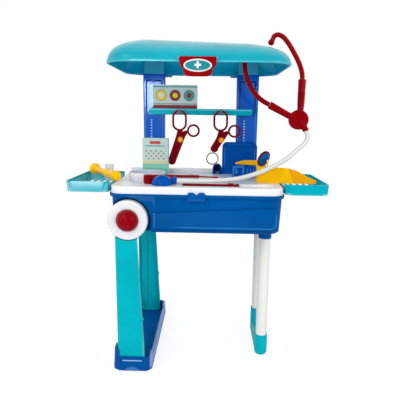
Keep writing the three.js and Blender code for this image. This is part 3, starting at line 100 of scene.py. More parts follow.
class Nodes:
    def __init__(self, name):
        self.material = bpy.data.materials.new(name)
        self.material.use_nodes = True
        self.tree = self.material.node_tree
        self.tree.nodes.clear()
        self.out = self.add("ShaderNodeOutputMaterial")
        self.where = self.add("ShaderNodeTexCoord").outputs["Object"]

    def add(self, kind, **settings):
        node = self.tree.nodes.new(kind)
        for key, value in settings.items():
            setattr(node, key, value)
        return node

    def put(self, socket, value):
        if isinstance(value, bpy.types.NodeSocket):
            self.tree.links.new(value, socket)
        else:
            socket.default_value = value

    def math(self, operation, a, b=0.0):
        node = self.add("ShaderNodeMath", operation=operation)
        self.put(node.inputs[0], a)
        self.put(node.inputs[1], b)
        return node.outputs[0]

    def noise(self, scale, detail=2.0, rough=0.5, where=None):
        node = self.add("ShaderNodeTexNoise")
        self.put(node.inputs["Vector"], where or self.where)
        self.put(node.inputs["Scale"], scale)
        self.put(node.inputs["Detail"], detail)
        self.put(node.inputs["Roughness"], rough)
        return node.outputs["Fac"]

    def ramp(self, value, low, high, to_low=0.0, to_high=1.0, smooth=False):
        node = self.add("ShaderNodeMapRange")
        if smooth:
            node.interpolation_type = "SMOOTHSTEP"
        for key, number in (("Value", value), ("From Min", low), ("From Max", high),
                            ("To Min", to_low), ("To Max", to_high)):
            self.put(node.inputs[key], number)
        return node.outputs["Result"]

    def mix(self, share, a, b):
        node = self.add("ShaderNodeMix", data_type="RGBA")
        self.put(node.inputs[0], share)
        self.put(node.inputs[6], a)
        self.put(node.inputs[7], b)
        return node.outputs[2]

    def bump(self, height, strength, distance, normal=None):
        node = self.add("ShaderNodeBump")
        self.put(node.inputs["Height"], height)
        self.put(node.inputs["Strength"], strength)
        self.put(node.inputs["Distance"], distance)
        if normal:
            self.put(node.inputs["Normal"], normal)
        return node.outputs["Normal"]

    def spread(self):
        """The place in millimetres, one output for each direction."""
        node = self.add("ShaderNodeSeparateXYZ")
        self.put(node.inputs[0], self.where)
        return [self.math("MULTIPLY", out, 1000.0) for out in node.outputs]

    def inside(self, centre):
        """1 on the faces of a shell that look at a point within it."""
        away = self.add("ShaderNodeVectorMath", operation="SUBTRACT")
        self.put(away.inputs[0], self.where)
        self.put(away.inputs[1], centre)
        facing = self.add("ShaderNodeVectorMath", operation="DOT_PRODUCT")
        self.put(facing.inputs[0], away.outputs["Vector"])
        self.put(facing.inputs[1], self.add("ShaderNodeNewGeometry").outputs["Normal"])
        return self.ramp(facing.outputs["Value"], 0.0, -0.006)

    def oval(self, u, v, centre, reach, soft=0.08, turn=0.0):
        a, b = self.math("SUBTRACT", u, centre[0]), self.math("SUBTRACT", v, centre[1])
        c, d = math.cos(turn), math.sin(turn)
        along = self.math("ADD", self.math("MULTIPLY", a, c), self.math("MULTIPLY", b, d))
        across = self.math("SUBTRACT", self.math("MULTIPLY", b, c), self.math("MULTIPLY", a, d))
        far = self.math("ADD", self.math("POWER", self.math("DIVIDE", along, reach[0]), 2.0),
                        self.math("POWER", self.math("DIVIDE", across, reach[1]), 2.0))
        return self.ramp(far, 1.0, 1.0 - soft)

    def bar(self, u, v, left, low, right, high, soft=0.3):
        sides = [self.ramp(u, left - soft, left + soft), self.ramp(u, right + soft, right - soft),
                 self.ramp(v, low - soft, low + soft), self.ramp(v, high + soft, high - soft)]
        return self.all_of(*sides)

    def all_of(self, first, *masks):
        for mask in masks:
            first = self.math("MULTIPLY", first, mask)
        return first

    def length(self, a, b):
        """How far a step of a and b goes."""
        squares = self.math("ADD", self.math("POWER", a, 2.0), self.math("POWER", b, 2.0))
        return self.math("POWER", squares, 0.5)

    def print_over(self, base, *layers):
        for mask, colour in layers:
            base = self.mix(mask, base, linear(colour))
        return base

    def surface(self, colour, rough, normal=None, **fixed):
        node = self.add("ShaderNodeBsdfPrincipled")
        self.put(node.inputs["Base Color"], colour)
        self.put(node.inputs["Roughness"], rough)
        if normal:
            self.put(node.inputs["Normal"], normal)
        for key, value in fixed.items():
            self.put(node.inputs[key.replace("_", " ")], value)
        self.tree.links.new(node.outputs[0], self.out.inputs[0])


# Moulded plastic: slow shifts of tone, a painted highlight on convex edges, cloudy gloss, a fine skin from
# the mould, rare scuffs
def plastic(name, colour, rough=0.28, shift=0.08, skin=0.1, level=0.2, tint=0.12, edge=0.5, marks=None,
            deep=0.86, **fixed):
    n = Nodes(name)
    base = [c * deep for c in linear(colour)[:3]] + [1]
    dark = [c * (1 - shift) for c in base[:3]] + [1]
    pale = [min(1, c * (1 + shift) + shift * 0.01) for c in base[:3]] + [1]
    tone = n.mix(n.ramp(n.noise(9, 3), 0.3, 0.7, smooth=True), dark, pale)
    if marks:
        tone = n.print_over(tone, *marks(n, *n.spread()))
    # Convex edges, found by pointiness, are lightened by edge: a painted highlight
    bend = n.add("ShaderNodeNewGeometry").outputs["Pointiness"]
    edge_highlight_tone = [c + (1 - c) * 0.3 for c in base[:3]] + [1]
    tone = n.mix(n.math("MULTIPLY", n.ramp(bend, 0.56, 0.68), edge), tone, edge_highlight_tone)
    scuff = n.ramp(n.noise(130, 6, 0.7), 0.66, 0.78)
    cloud = n.ramp(n.noise(28, 4), 0.3, 0.7, rough - 0.05, rough + 0.07)
    gloss = n.math("ADD", cloud, n.math("MULTIPLY", scuff, 0.12))
    fine = n.bump(n.noise(900, 2), skin, 0.0002)
    normal = n.bump(n.noise(38, 2), skin * 1.2, 0.0012, fine)
    top = max(base[:3])
    glint = [tint + (1 - tint) * c / top for c in base[:3]] + [1]
    if callable(level):
        level = level(n)
    n.surface(tone, gloss, normal, Specular_IOR_Level=level, Specular_Tint=glint, **fixed)
    return n.material


def metal(name, colour, rough=0.25):
    n = Nodes(name)
    stretch = n.add("ShaderNodeMapping")
    n.put(stretch.inputs["Vector"], n.where)
    stretch.inputs["Scale"].default_value = (1, 0.04, 1)
    streak = n.noise(1500, 3, where=stretch.outputs[0])
    tone = n.mix(streak, linear([c * 0.82 for c in colour]), linear(colour))
    n.surface(tone, n.ramp(streak, 0.3, 0.7, rough - 0.06, rough + 0.1), Metallic=1.0)
    return n.material


# Marks in the materials, all of them generic shapes. A bar's four numbers are left, low, right and high,
# a ramp's two are where it starts and where it is full, and the last number of a mask is its share.
def post_marks(n, x, y, z):
    """A row of plain studs painted pale on the rib as highlights, and painted highlights on the lit edges of
    the post.
    """
    face, flank = (114.6, 114.2), (130, 128)
    rib_centres, stud_half, stud_low, stud_high, stud_turns = (-122.5, 109.5), 1.7, 481, 533, 0.9
    edge_starts, edge_width, edge_low, edge_high = (-23, 20.6), 1.2, 402, 629
    cap_half, cap_low, cap_high = 21, 630, 631.4
    stud_highlight_colour, edge_colour = (178, 204, 245), (70, 140, 226)
    front, side = n.ramp(y, *face), n.ramp(y, *flank)
    # Pale stud marks: painted highlights where raised studs would catch the light
    stud_highlights = n.ramp(n.math("SINE", n.math("MULTIPLY", z, stud_turns)), -0.1, 0.15)
    layers = []
    for centre in rib_centres:
        reach = n.bar(x, z, centre - stud_half, stud_low, centre + stud_half, stud_high)
        layers.append((n.all_of(front, stud_highlights, reach), stud_highlight_colour))
    # Painted highlights on the lit side edges and top of each post
    for post in (-POST_X, POST_X):
        for start in edge_starts:
            edge = n.bar(x, z, post + start, edge_low, post + start + edge_width, edge_high)
            layers.append((n.all_of(edge, side), edge_colour))
        cap = n.bar(x, z, post - cap_half, cap_low, post + cap_half, cap_high)
        layers.append((n.all_of(cap, side), edge_colour))
    return layers


def shelf_marks(n, x, y, z):
    """A painted highlight along the top edge and a line of painted shade below it."""
    face = (96, 94)
    lit, shade_line = (-140, 556.2, 140, 558.2), (-136, 541, 136, 545.5)
    front = n.ramp(y, *face)
    # The first layer is a painted highlight, the second painted shade
    return [(n.all_of(n.bar(x, z, *lit, 0.4), front), (120, 214, 222)),
            (n.all_of(n.bar(x, z, *shade_line, 0.8), front), (0, 132, 150))]


def wing_marks(n, x, y, z):
    """A floor made paler by a painted reflection, painted light on the left tray's walls where the light
    falls in, and a painted reflection on its front wall.
    """
    floor_top, floor_front = (389.5, 388.5), (-124.8, -123.8)
    left_side, hollow, brim = (-181, -183), (-268.4, -123.6, -184, 65.4), (403.4, 402.6)
    wall_front, wall_start = (-124.8, -126), (-260, -257)
    # floor: a painted reflection; inside: painted light in the left tray; wall: a painted reflection on its
    # front wall
    floor = n.all_of(n.ramp(z, *floor_top), n.ramp(y, *floor_front))
    left = n.ramp(x, *left_side)
    inside = n.all_of(n.bar(x, y, *hollow), n.ramp(z, *brim))
    wall = n.all_of(left, n.ramp(y, *wall_front), n.ramp(x, *wall_start), 0.8)
    return [(n.all_of(left, inside, 0.6), (130, 206, 214)), (floor, (120, 205, 215)), (wall, (176, 224, 236))]


# A point under the dome, in metres
CANOPY_HEART = (0, 0, 0.6)


def canopy_marks(n, x, y, z):
    """A painted reflection that greys the crown, painted light that makes the inside bluer and brighter, and
    a painted highlight along the lip.
    """
    crown_rise, lip_low, lip_high = (672, 704), (643.2, 643.6), (645.8, 645.2)
    # Painted reflection on the crown, painted light on the inside, painted highlight on the lip
    crown_reflection = n.all_of(n.ramp(z, *crown_rise, smooth=True), 0.5)
    lip_highlight = n.all_of(n.ramp(z, *lip_low), n.ramp(z, *lip_high), 0.4)
    return [(crown_reflection, (120, 178, 194)), (n.inside(CANOPY_HEART), (0, 168, 204)), (lip_highlight, (120, 220, 228))]


def canopy_level(n):
    """Less shine on the inside."""
    outside, inside = 0.3, 0.06
    return n.ramp(n.inside(CANOPY_HEART), 0.0, 1.0, outside, inside)


def tray_marks(n, x, y, z):
    """Painted shade inside the bowl and on the ledge, and a soft painted shadow round the bowl's foot."""
    bowl_x, bowl_y = -112, -44
    wall, brim = (40.2, 38.6), (420.4, 417.5)
    foot_near, foot_far, foot_top = (39, 41), (49, 43), (409, 401)
    ledge_front, ledge_top = (64, 90), (402.5, 401.5)
    far = n.length(n.math("SUBTRACT", x, bowl_x), n.math("SUBTRACT", y, bowl_y))
    # Painted shade in the bowl, a painted shadow round its foot, painted shade on the ledge
    inside = n.all_of(n.ramp(far, *wall), n.ramp(z, *brim), 0.75)
    foot = n.all_of(n.ramp(far, *foot_near), n.ramp(far, *foot_far, smooth=True),
                    n.ramp(z, *foot_top, smooth=True), 0.5)
    ledge_shade = n.all_of(n.ramp(y, *ledge_front), n.ramp(z, *ledge_top), 0.35)
    return [(inside, (168, 180, 200)), (foot, (176, 182, 192)), (ledge_shade, (170, 180, 198))]


def band_marks(n, x, y, z):
    """Painted shade on the band's outer end, where it folds away, and a darker line of painted shade along
    the slanted crease.
    """
    slope, face = 0.45, (-10, -12)
    fold_shade, crease_start, crease_end = (390, 391.4), (389.2, 390), (391.6, 390.8)
    slant = n.math("ADD", x, n.math("MULTIPLY", z, slope))
    front = n.ramp(y, *face)
    # Painted shade for the fold and the crease
    crease_shade = n.all_of(n.ramp(slant, *crease_start), n.ramp(slant, *crease_end), front, 0.6)
    return [(n.all_of(n.ramp(slant, *fold_shade), front), (246, 166, 6)), (crease_shade, (176, 104, 10))]


def front_only(layers, n, y, face):
    """Keeps the layers to what lies at a face and before it."""
    start, full = 0.9, 0.4
    front = n.ramp(y, face + start, face + full)
    return [(n.all_of(mask, front), colour) for mask, colour in layers]


def case_marks(n, x, y, z):
    """A painted highlight along the thin lit edge of the front's raised panel, a lighter seam line as a
    painted highlight, and a painted reflection that makes the end left of it paler.
    """
    face, line_top, line_start = (-139, -141), (352, 345), (-60, -20)
    panel_x, panel_z, panel_half_x, panel_half_z, panel_corner = 39, 342, 112, 13, 11
    seam_bar, end_side, end_bar = (-85.6, 318, -84.2, 378), (-84.6, -85.2), (-140, 346, -84, 380)
    highlight_line_colour = (44, 124, 196)
    front = n.ramp(y, *face)
    out_x = n.math("SUBTRACT", n.math("ABSOLUTE", n.math("SUBTRACT", x, panel_x)), panel_half_x)
    out_z = n.math("SUBTRACT", n.math("ABSOLUTE", n.math("SUBTRACT", z, panel_z)), panel_half_z)
    far = n.length(n.math("MAXIMUM", out_x, 0.0), n.math("MAXIMUM", out_z, 0.0))
    ring = n.math("ABSOLUTE", n.math("SUBTRACT", far, panel_corner))
    # Painted highlights on the panel's lit edge and the seam line, and a painted reflection on the end left
    # of the seam
    line = n.all_of(n.ramp(ring, 1.0, 0.5), n.ramp(z, *line_top), front, n.ramp(x, *line_start))
    seam_highlight = n.all_of(n.bar(x, z, *seam_bar, 0.4), front)
    left = n.all_of(n.ramp(x, *end_side), n.bar(x, z, *end_bar, 3), front, 0.35)
    return [(left, (90, 146, 210)), (line, highlight_line_colour), (seam_highlight, highlight_line_colour)]


def scope_marks(n, x, y, z):
    """A frame of painted highlights round a plain pane on the body, and ribs of painted highlights on the
    grip.
    """
    face, pane = (12, 10), (85, 412, 90, 424)
    outer, inner = (79, 403.4, 105, 429.4), (82.2, 406.4, 101.6, 426.4)
    grip, rib_turns, rib_highlight_colour = (109, 404, 131, 424), 0.9, (52, 128, 208)
    front = n.ramp(y, *face)
    # The frame and the grip ribs are painted highlights
    frame_highlight = n.math("SUBTRACT", n.bar(x, z, *outer, 0.4), n.bar(x, z, *inner, 0.4))
    rib_highlights = n.ramp(n.math("SINE", n.math("MULTIPLY", x, rib_turns)), 0.7, 0.9)
    return [(n.all_of(frame_highlight, front), rib_highlight_colour),
            (n.all_of(n.bar(x, z, *pane, 1.4), front), (70, 140, 214)),
            (n.all_of(n.bar(x, z, *grip), rib_highlights), rib_highlight_colour)]


def cone_marks(n, x, y, z):
    """Painted shade for the cone's dark mouth, with painted light on its floor."""
    centre, reach, mouth, lit = (44, 411.5), (7.8, 9.6), (105, 104), (406.4, 405.4)
    # Painted shade in the mouth, painted light on its floor
    inside = n.all_of(n.oval(x, z, centre, reach, 0.1), n.ramp(y, *mouth))
    return [(inside, (2, 20, 60)), (n.all_of(inside, n.ramp(z, *lit)), (120, 140, 176))]


def base_marks(n, x, y, z):
    """A painted reflection on the far side and rim, a painted highlight on the lit rib, and a paler arch on
    the front as a painted highlight.
    """
    side_start, side_foot = (-95.5, -93.5), (10, 14)
    rim_foot, rim_start, rim_front = (28.2, 29.2), (-104, -98), (-144, -140)
    face, rib_bar = (-153.0, -155.0), (-152, 28.4, -111, 30.2)
    arch_x, arch_half, arch_rise, arch_foot = -131.5, 20.0, 11.0, 4.0
    # side and rim: painted reflections; arch and rib: painted highlights
    side = n.all_of(n.ramp(x, *side_start), n.ramp(z, *side_foot))
    rim_reflection = n.all_of(n.ramp(z, *rim_foot), n.ramp(x, *rim_start), n.ramp(y, *rim_front))
    front = n.ramp(y, *face)
    off = n.math("DIVIDE", n.math("SUBTRACT", x, arch_x), arch_half)
    bow = n.math("MULTIPLY", n.math("SUBTRACT", 1.0, n.math("POWER", off, 2.0)), arch_rise)
    arch_highlight = n.math("SUBTRACT", bow, n.math("SUBTRACT", z, arch_foot))
    return [(rim_reflection, (104, 146, 208)), (side, (138, 158, 212)),
            (n.all_of(n.ramp(arch_highlight, 0.0, 0.7), front), (66, 122, 194)),
            (n.all_of(n.bar(x, z, *rib_bar), front), (176, 212, 244))]


def holder_marks(n, x, y, z):
    """The lit edges of the card holder's front."""
    face, centre_x = (93.4, 92.8), 99
    side_bar, top_bar = (36.6, 420, 38, 466), (70, 474.6, 128, 475.8)
    front = n.ramp(y, *face)
    across = n.math("ABSOLUTE", n.math("SUBTRACT", x, centre_x))
    return [(n.all_of(n.bar(across, z, *side_bar, 0.5), front), (60, 130, 206)),
            (n.all_of(n.bar(x, z, *top_bar, 0.5), front), (30, 104, 184))]


def arm_marks(n, x, y, z):
    """A soft painted highlight on the front face."""
    face, centre, reach, turn = (-127, -128), (-103, 78), (7, 60), -0.1
    # glow is a painted highlight
    glow = n.oval(x, z, centre, reach, 0.7, turn=turn)
    return [(n.all_of(glow, 0.35, n.ramp(y, *face)), (96, 214, 222))]


def rivet_marks(n, x, y, z):
    """A darker ring round a paler head."""
    heads_x, head_z, ring, head = (-47.5, 52.5), 485.2, 4.6, 3.4
    layers = []
    for centre in heads_x:
        layers += [(n.oval(x, z, (centre, head_z), (ring, ring), 0.1), (222, 128, 10)),
                   (n.oval(x, z, (centre, head_z), (head, head), 0.1), (255, 190, 50))]
    return layers


# On each box u and v run in millimetres from the lower left corner of its front
def standing_box_marks(n, x, y, z):
    """Plain bands, a field of dots, a line and a bare label, with a painted highlight down the left edge and
    painted shade down the right edge.
    """
    left, foot, face = -137, 401.1, 50
    width, height, dot_turns = 62, 88, 0.52
    field, line, label = (6, 36, 56, 62), (8, 68, 54, 71), (18, 74, 44, 81)
    u, v = n.math("SUBTRACT", x, left), n.math("SUBTRACT", z, foot)
    dots = n.ramp(n.math("MULTIPLY", n.math("SINE", n.math("MULTIPLY", u, dot_turns)),
                         n.math("SINE", n.math("MULTIPLY", v, dot_turns))), 0.5, 0.62)
    bands = ((0, 16, (86, 168, 146)), (16, 27, (120, 190, 168)), (29, 32, (240, 184, 60)))
    layers = [(n.bar(u, v, 0, low, width, high), colour) for low, high, colour in bands]
    layers += [
        (n.all_of(n.bar(u, v, *field), dots), (190, 40, 48)),
        (n.bar(u, v, *line), (120, 160, 158)),
        (n.bar(u, v, *label, 1.2), (196, 52, 56)),
        # A painted highlight down the left edge, then painted shade down the right edge
        (n.bar(u, v, 0, 0, 1, height), (232, 236, 234)),
        (n.bar(u, v, width - 0.8, 0, width, height), (150, 182, 176)),
    ]
    return front_only(layers, n, y, face)


def shelf_box_marks(n, x, y, z):
    """A row of plain rings between bands."""
    left, foot, face, width = -116, 558.3, 91.7, 108
    ring_v, edge, outer, inner = 33, 13.6, 12.6, 6.4
    red, yellow, green, pale = (140, 16, 34), (246, 214, 10), (70, 160, 146), (232, 232, 236)
    ring_red, edge_colour = (140, 22, 32), (66, 56, 60)
    u, v = n.math("SUBTRACT", x, left), n.math("SUBTRACT", z, foot)
    bands = ((0, 10, red), (11.5, 14, (112, 156, 158)), (52, 55, green))
    layers = [(n.bar(u, v, 0, low, width, high), colour) for low, high, colour in bands]
    for centre, ring, middle in ((20, yellow, pale), (54, ring_red, yellow), (88, green, ring_red)):
        for radius, colour in ((edge, edge_colour), (outer, ring), (inner, middle)):
            layers.append((n.oval(u, v, (centre, ring_v), (radius, radius)), colour))
    return front_only(layers, n, y, face)


LOOKS = {
    "teal": (plastic("teal_plastic", (0, 180, 194), 0.24), "teal_plastic"),
    "canopy": (plastic("canopy_teal_plastic", (0, 170, 186), 0.22, skin=0.05, level=canopy_level, tint=0.5,
                       marks=canopy_marks), "teal_plastic"),
    "hub": (plastic("hub_red_plastic", (144, 0, 15), 0.2, level=0.27), "red_plastic"),
    "tray": (plastic("tray_white_plastic", (241, 241, 240), 0.3, shift=0.03, level=0.3, deep=0.9,
                     marks=tray_marks), "white_plastic"),
    "band": (plastic("band_yellow_plastic", (255, 190, 4), 0.24, edge=0.15, deep=1, marks=band_marks),
             "yellow_plastic"),
    "case": (plastic("case_blue_plastic", (0, 86, 156), 0.32, level=0.1, tint=0.02, edge=0.06,
                     marks=case_marks), "blue_plastic"),
    "base": (plastic("base_blue_plastic", (0, 84, 158), 0.22, level=0.25, tint=0.1, edge=0.3,
                     marks=base_marks), "blue_plastic"),
    "scope": (plastic("scope_blue_plastic", (0, 80, 170), 0.2, marks=scope_marks), "blue_plastic"),
    "cone": (plastic("cone_blue_plastic", (0, 80, 165), 0.2, marks=cone_marks), "blue_plastic"),
    "holder": (plastic("holder_blue_plastic", (0, 82, 172), 0.2, marks=holder_marks), "blue_plastic"),
    "arm": (plastic("arm_teal_plastic", (0, 182, 194), 0.24, edge=1.0, marks=arm_marks), "teal_plastic"),
    "shelf": (plastic("shelf_teal_plastic", (0, 180, 194), 0.24, marks=shelf_marks), "teal_plastic"),
    "wing": (plastic("wing_teal_plastic", (0, 180, 194), 0.24, marks=wing_marks), "teal_plastic"),
    "blue": (plastic("blue_plastic", (0, 86, 158), 0.22), "blue_plastic"),
    "bright": (plastic("bright_blue_plastic", (0, 98, 206), 0.08, level=0.5, tint=0.35, shift=0.04,
                       marks=post_marks), "bright_blue_plastic"),
    # A deeper blue that paints the shade at the posts' recess edges
    "shade_line": (plastic("shade_line_blue_plastic", (0, 50, 124), 0.35, level=0.15), "bright_blue_plastic"),
    "white": (plastic("white_plastic", (240, 240, 240), 0.3, shift=0.03, level=0.3), "white_plastic"),
    "tube": (plastic("pale_tube_plastic", (250, 250, 240), 0.26, shift=0.015, level=0.3),
             "pale_tube_plastic"),
    "soft": (plastic("pale_soft_tube", (232, 232, 226), 0.34, shift=0.04), "pale_soft_tube"),
    "red": (plastic("red_plastic", (148, 0, 10), 0.2, level=0.22, edge=0.3), "red_plastic"),
    "dark_red": (plastic("dark_red_plastic", (124, 2, 16), 0.2), "dark_red_plastic"),
    "yellow": (plastic("yellow_plastic", (255, 190, 4), 0.26, edge=0.1, deep=1), "yellow_plastic"),
    "orange": (plastic("orange_plastic", (248, 160, 24), 0.3, deep=1, marks=rivet_marks), "orange_plastic"),
    "grey": (plastic("grey_plastic", (84, 92, 98), 0.38, level=0.4), "grey_plastic"),
    "jade": (plastic("jade_plastic", (36, 140, 150), 0.3), "jade_plastic"),
    "standing_box": (plastic("standing_box_card", (200, 228, 216), 0.45, shift=0.03, edge=0.1,
                             marks=standing_box_marks), "printed_card"),
    "shelf_box": (plastic("shelf_box_card", (222, 232, 222), 0.45, shift=0.03, edge=0.1,
                          marks=shelf_box_marks), "printed_card"),
    "steel": (metal("steel", (186, 190, 194)), "steel"),
    "clear": (plastic("clear_plastic", (232, 240, 242), 0.1, shift=0.02, skin=0.05, Alpha=0.32),
              "clear_plastic"),
}


# Mesh helpers
ON_AXIS = 1e-4
MERGE = 1e-6
CAD_MERGE = 4e-6


def to_object(name, bm):
    bmesh.ops.recalc_face_normals(bm, faces=bm.faces)
    mesh = bpy.data.meshes.new(name)
    bm.to_mesh(mesh)
    bm.free()
    obj = bpy.data.objects.new(name, mesh)
    scene.collection.objects.link(obj)
    return obj


def settle(obj):
    """Applies the modifiers."""
    bpy.context.view_layer.update()
    done = bpy.data.meshes.new_from_object(obj.evaluated_get(bpy.context.evaluated_depsgraph_get()))
    obj.modifiers.clear()
    obj.data = done


def modify(obj, kind, **settings):
    modifier = obj.modifiers.new(kind.lower(), kind)
    for key, value in settings.items():
        setattr(modifier, key, value)


def smooth(obj, angle=34):
    obj.data.shade_smooth()
    obj.data.set_sharp_from_angle(angle=math.radians(angle))
    return obj


def dress(obj, look, body, *nodes):
    material, slot = LOOKS[look]
    obj.data.materials.clear()
    obj.data.materials.append(material)
    if body:
        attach(obj, body)
    if nodes:
        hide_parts(*nodes)


def owner(node):
    return next(b for b, members in frame["record"]["behaviour"]["bodies"].items() if node in members)


def cad_mesh(node):
    bm = bmesh.new()
    bm.from_mesh(frame["nodes"][node].data)
    bmesh.ops.remove_doubles(bm, verts=bm.verts, dist=CAD_MERGE)
    return bm


def refine(node, look, edge, angle=32, steps=2):
    """A CAD node with its hard edges rounded as a mould leaves them."""
    bm = cad_mesh(node)
    bmesh.ops.dissolve_limit(bm, angle_limit=math.radians(1), verts=bm.verts, edges=bm.edges)
    obj = to_object(node + "_skin", bm)
    modify(obj, "BEVEL", width=edge * MM, segments=steps, limit_method="ANGLE",
           angle_limit=math.radians(angle), miter_outer="MITER_ARC")
    settle(obj)
    smooth(obj, 50)
    modify(obj, "WEIGHTED_NORMAL", keep_sharp=True)
    dress(obj, look, owner(node), node)


def soften(node, look, voxel, passes, name=None):
    """A CAD node fused and smoothed all over, for a rounded moulding."""
    obj = to_object(name or node + "_skin", cad_mesh(node))
    modify(obj, "REMESH", mode="VOXEL", voxel_size=voxel * MM)
    modify(obj, "SMOOTH", factor=0.5, iterations=passes)
    settle(obj)
    obj.data.shade_smooth()
    dress(obj, look, owner(node), node)


def fillet(points, radius, steps=5):
    """A polyline with its inner corners rounded."""
    points = [Vector(p) for p in points]
    out = [points[0]]
    for a, b, c in zip(points, points[1:], points[2:]):
        back = min(radius, (a - b).length * 0.48)
        on = min(radius, (c - b).length * 0.48)
        start = b + (a - b).normalized() * back
        end = b + (c - b).normalized() * on
        for k in range(steps + 1):
            t = k / steps
            out.append(start * (1 - t) ** 2 + b * 2 * t * (1 - t) + end * t * t)
    out.append(points[-1])
    return out


def frame_at(origin, axis):
    """A matrix in metres whose Z runs along axis from origin."""
    turn = Vector((0, 0, 1)).rotation_difference(Vector(axis))
    return Matrix.Translation(Vector(origin) * MM) @ turn.to_matrix().to_4x4()


def lathe_into(bm, profile, origin=(0, 0, 0), axis=(0, 0, 1), sides=72):
    place = frame_at(origin, axis)
    turns = [2 * math.pi * k / sides for k in range(sides)]
    rings = []
    for r, h in profile:
        if r < ON_AXIS:
            rings.append([bm.verts.new(place @ Vector((0, 0, h * MM)))])
            continue
        ring = [Vector((r * math.cos(a), r * math.sin(a), h)) * MM for a in turns]
        rings.append([bm.verts.new(place @ point) for point in ring])
    for low, high in zip(rings, rings[1:]):
        if len(low) == 1 and len(high) == 1:
            continue
        for k in range(sides):
            m = (k + 1) % sides
            quad = [low[k % len(low)], low[m % len(low)], high[m % len(high)], high[k % len(high)]]
            bm.faces.new(list(dict.fromkeys(quad)))


def lathe(name, profile, origin=(0, 0, 0), axis=(0, 0, 1), sides=72, rounding=0.8):
    bm = bmesh.new()
    lathe_into(bm, fillet(profile, rounding), origin, axis, sides)
    bmesh.ops.remove_doubles(bm, verts=bm.verts, dist=MERGE)
    return smooth(to_object(name, bm), 40)


def route(points, steps):
    """Points along a centripetal curve through the given ones."""
    pts = [Vector(p) for p in points]
    pts = [2 * pts[0] - pts[1]] + pts + [2 * pts[-1] - pts[-2]]
    spans = len(points) - 1
    out = []
    for k in range(steps + 1):
        t = k / steps * spans
        i = min(int(t), spans - 1)
        w = t - i
        p0, p1, p2, p3 = pts[i:i + 4]
        d0, d1, d2 = ((b - a).length ** 0.5 for a, b in ((p0, p1), (p1, p2), (p2, p3)))
        m1 = ((p1 - p0) / d0 - (p2 - p0) / (d0 + d1) + (p2 - p1) / d1) * d1
        m2 = ((p2 - p1) / d1 - (p3 - p1) / (d1 + d2) + (p3 - p2) / d2) * d1
        square = -3 * p1 + 3 * p2 - 2 * m1 - m2
        cube = 2 * p1 - 2 * p2 + m1 + m2
        out.append(p1 + m1 * w + square * w ** 2 + cube * w ** 3)
    return out


def pipe(name, points, radius):
    """A curve piece of one open spline."""
    curve = bpy.data.curves.new(name, "CURVE")
    curve.dimensions = "3D"
    curve.bevel_depth = radius * MM
    curve.bevel_resolution = 6
    curve.use_fill_caps = True
    spline = curve.splines.new("POLY")
    spline.points.add(len(points) - 1)
    for k, p in enumerate(points):
        spline.points[k].co = (*(Vector(p) * MM), 1)
    spline.use_smooth = True
    obj = bpy.data.objects.new(name, curve)
    scene.collection.objects.link(obj)
    return obj


def rounded_ring(half_x, half_y, corner, z, centre=(0, 0), steps=10):
    corner = min(corner, half_x, half_y)
    out = []
    for quarter, (sx, sy) in enumerate(((1, 1), (-1, 1), (-1, -1), (1, -1))):
        for k in range(steps + 1):
            a = (quarter + k / steps) * math.pi / 2
            out.append(Vector((centre[0] + sx * (half_x - corner) + corner * math.cos(a),
                               centre[1] + sy * (half_y - corner) + corner * math.sin(a), z)) * MM)
    return out


def loft_into(bm, rings):
    """A skin over rings of as many points each, closed at both ends."""
    rows = [[bm.verts.new(p) for p in ring] for ring in rings]
    for low, high in zip(rows, rows[1:]):
        for k in range(len(low)):
            m = (k + 1) % len(low)
            bm.faces.new((low[k], low[m], high[m], high[k]))
    bm.faces.new(rows[0][::-1])
    bm.faces.new(rows[-1])


def block_into(bm, rows, centre, *tops):
    """A loft through rows of half width, half depth, corner and height, and any rings given after them."""
    loft_into(bm, [rounded_ring(*row, centre, 2) for row in rows] + list(tops))


# Canopy: a smooth dome that leans a little, with a rolled lip, post sockets, rear tabs and latch lugs
CANOPY_HALF_X, CANOPY_HALF_Y = 185, 148.5
CANOPY_RIM, CANOPY_HEIGHT, CANOPY_WALL = 642.5, 55.5, 3
CANOPY_CORNER, CANOPY_CORNER_SHARE = 58, 0.72
CANOPY_END_SHARE = 0.5
CANOPY_LEAN = 0.11
# How high the dome stands, and how far in it is there, as shares of its height and half depth
CANOPY_RISE = [(0.13, 0.003), (0.26, 0.023), (0.43, 0.08), (0.565, 0.155), (0.67, 0.243), (0.775, 0.357),
               (0.88, 0.525), (0.955, 0.71), (0.99, 0.86), (1.0, 0.95)]
CANOPY_SHARES = [(p.x, p.y) for p in route([(rise, inset, 0) for rise, inset in CANOPY_RISE], 44)]
# The lip from inside to outside: inset, height over the rim, and depth into the wall
CANOPY_LIP = ((0, 0.4, CANOPY_WALL), (0, 0, CANOPY_WALL - 0.5), (0, 0, 0.4), (-0.6, 0.3, 0), (-1, 1.1, 0),
              (-1, 5.0, 0), (-0.7, 5.7, 0), (-0.1, 6.1, 0))
SOCKET_Y, SOCKET_TOP, SOCKET_SUNK = 125.5, (24.5, 12, 2), 2
SOCKET_ROWS = ((18.3, 7.3, 1, 657.2), (18.3, 7.3, 1, 644.3), (24.0, 11.5, 2, 644.3), (*SOCKET_TOP, 645))
TAB_X, TAB_INSET = 86, 1.5
TAB_ROWS = ((11.9, 1, 1, 638.5), (12.5, 1.5, 1.2, 639.2), (12.5, 1.5, 1.2, 645.5))
LUG_X, LUG_Y = 37.3, -151.4
LUG_ROWS = ((1.6, 2.4, 1, 646.3), (2, 2.8, 1, 647), (2, 2.8, 1, 653.6), (1.6, 2.4, 1, 654.3))


def lean(z, x):
    """The dome is lower towards its right end."""
    return CANOPY_RIM + (z - CANOPY_RIM) * (1 - CANOPY_LEAN * x / CANOPY_HALF_X)


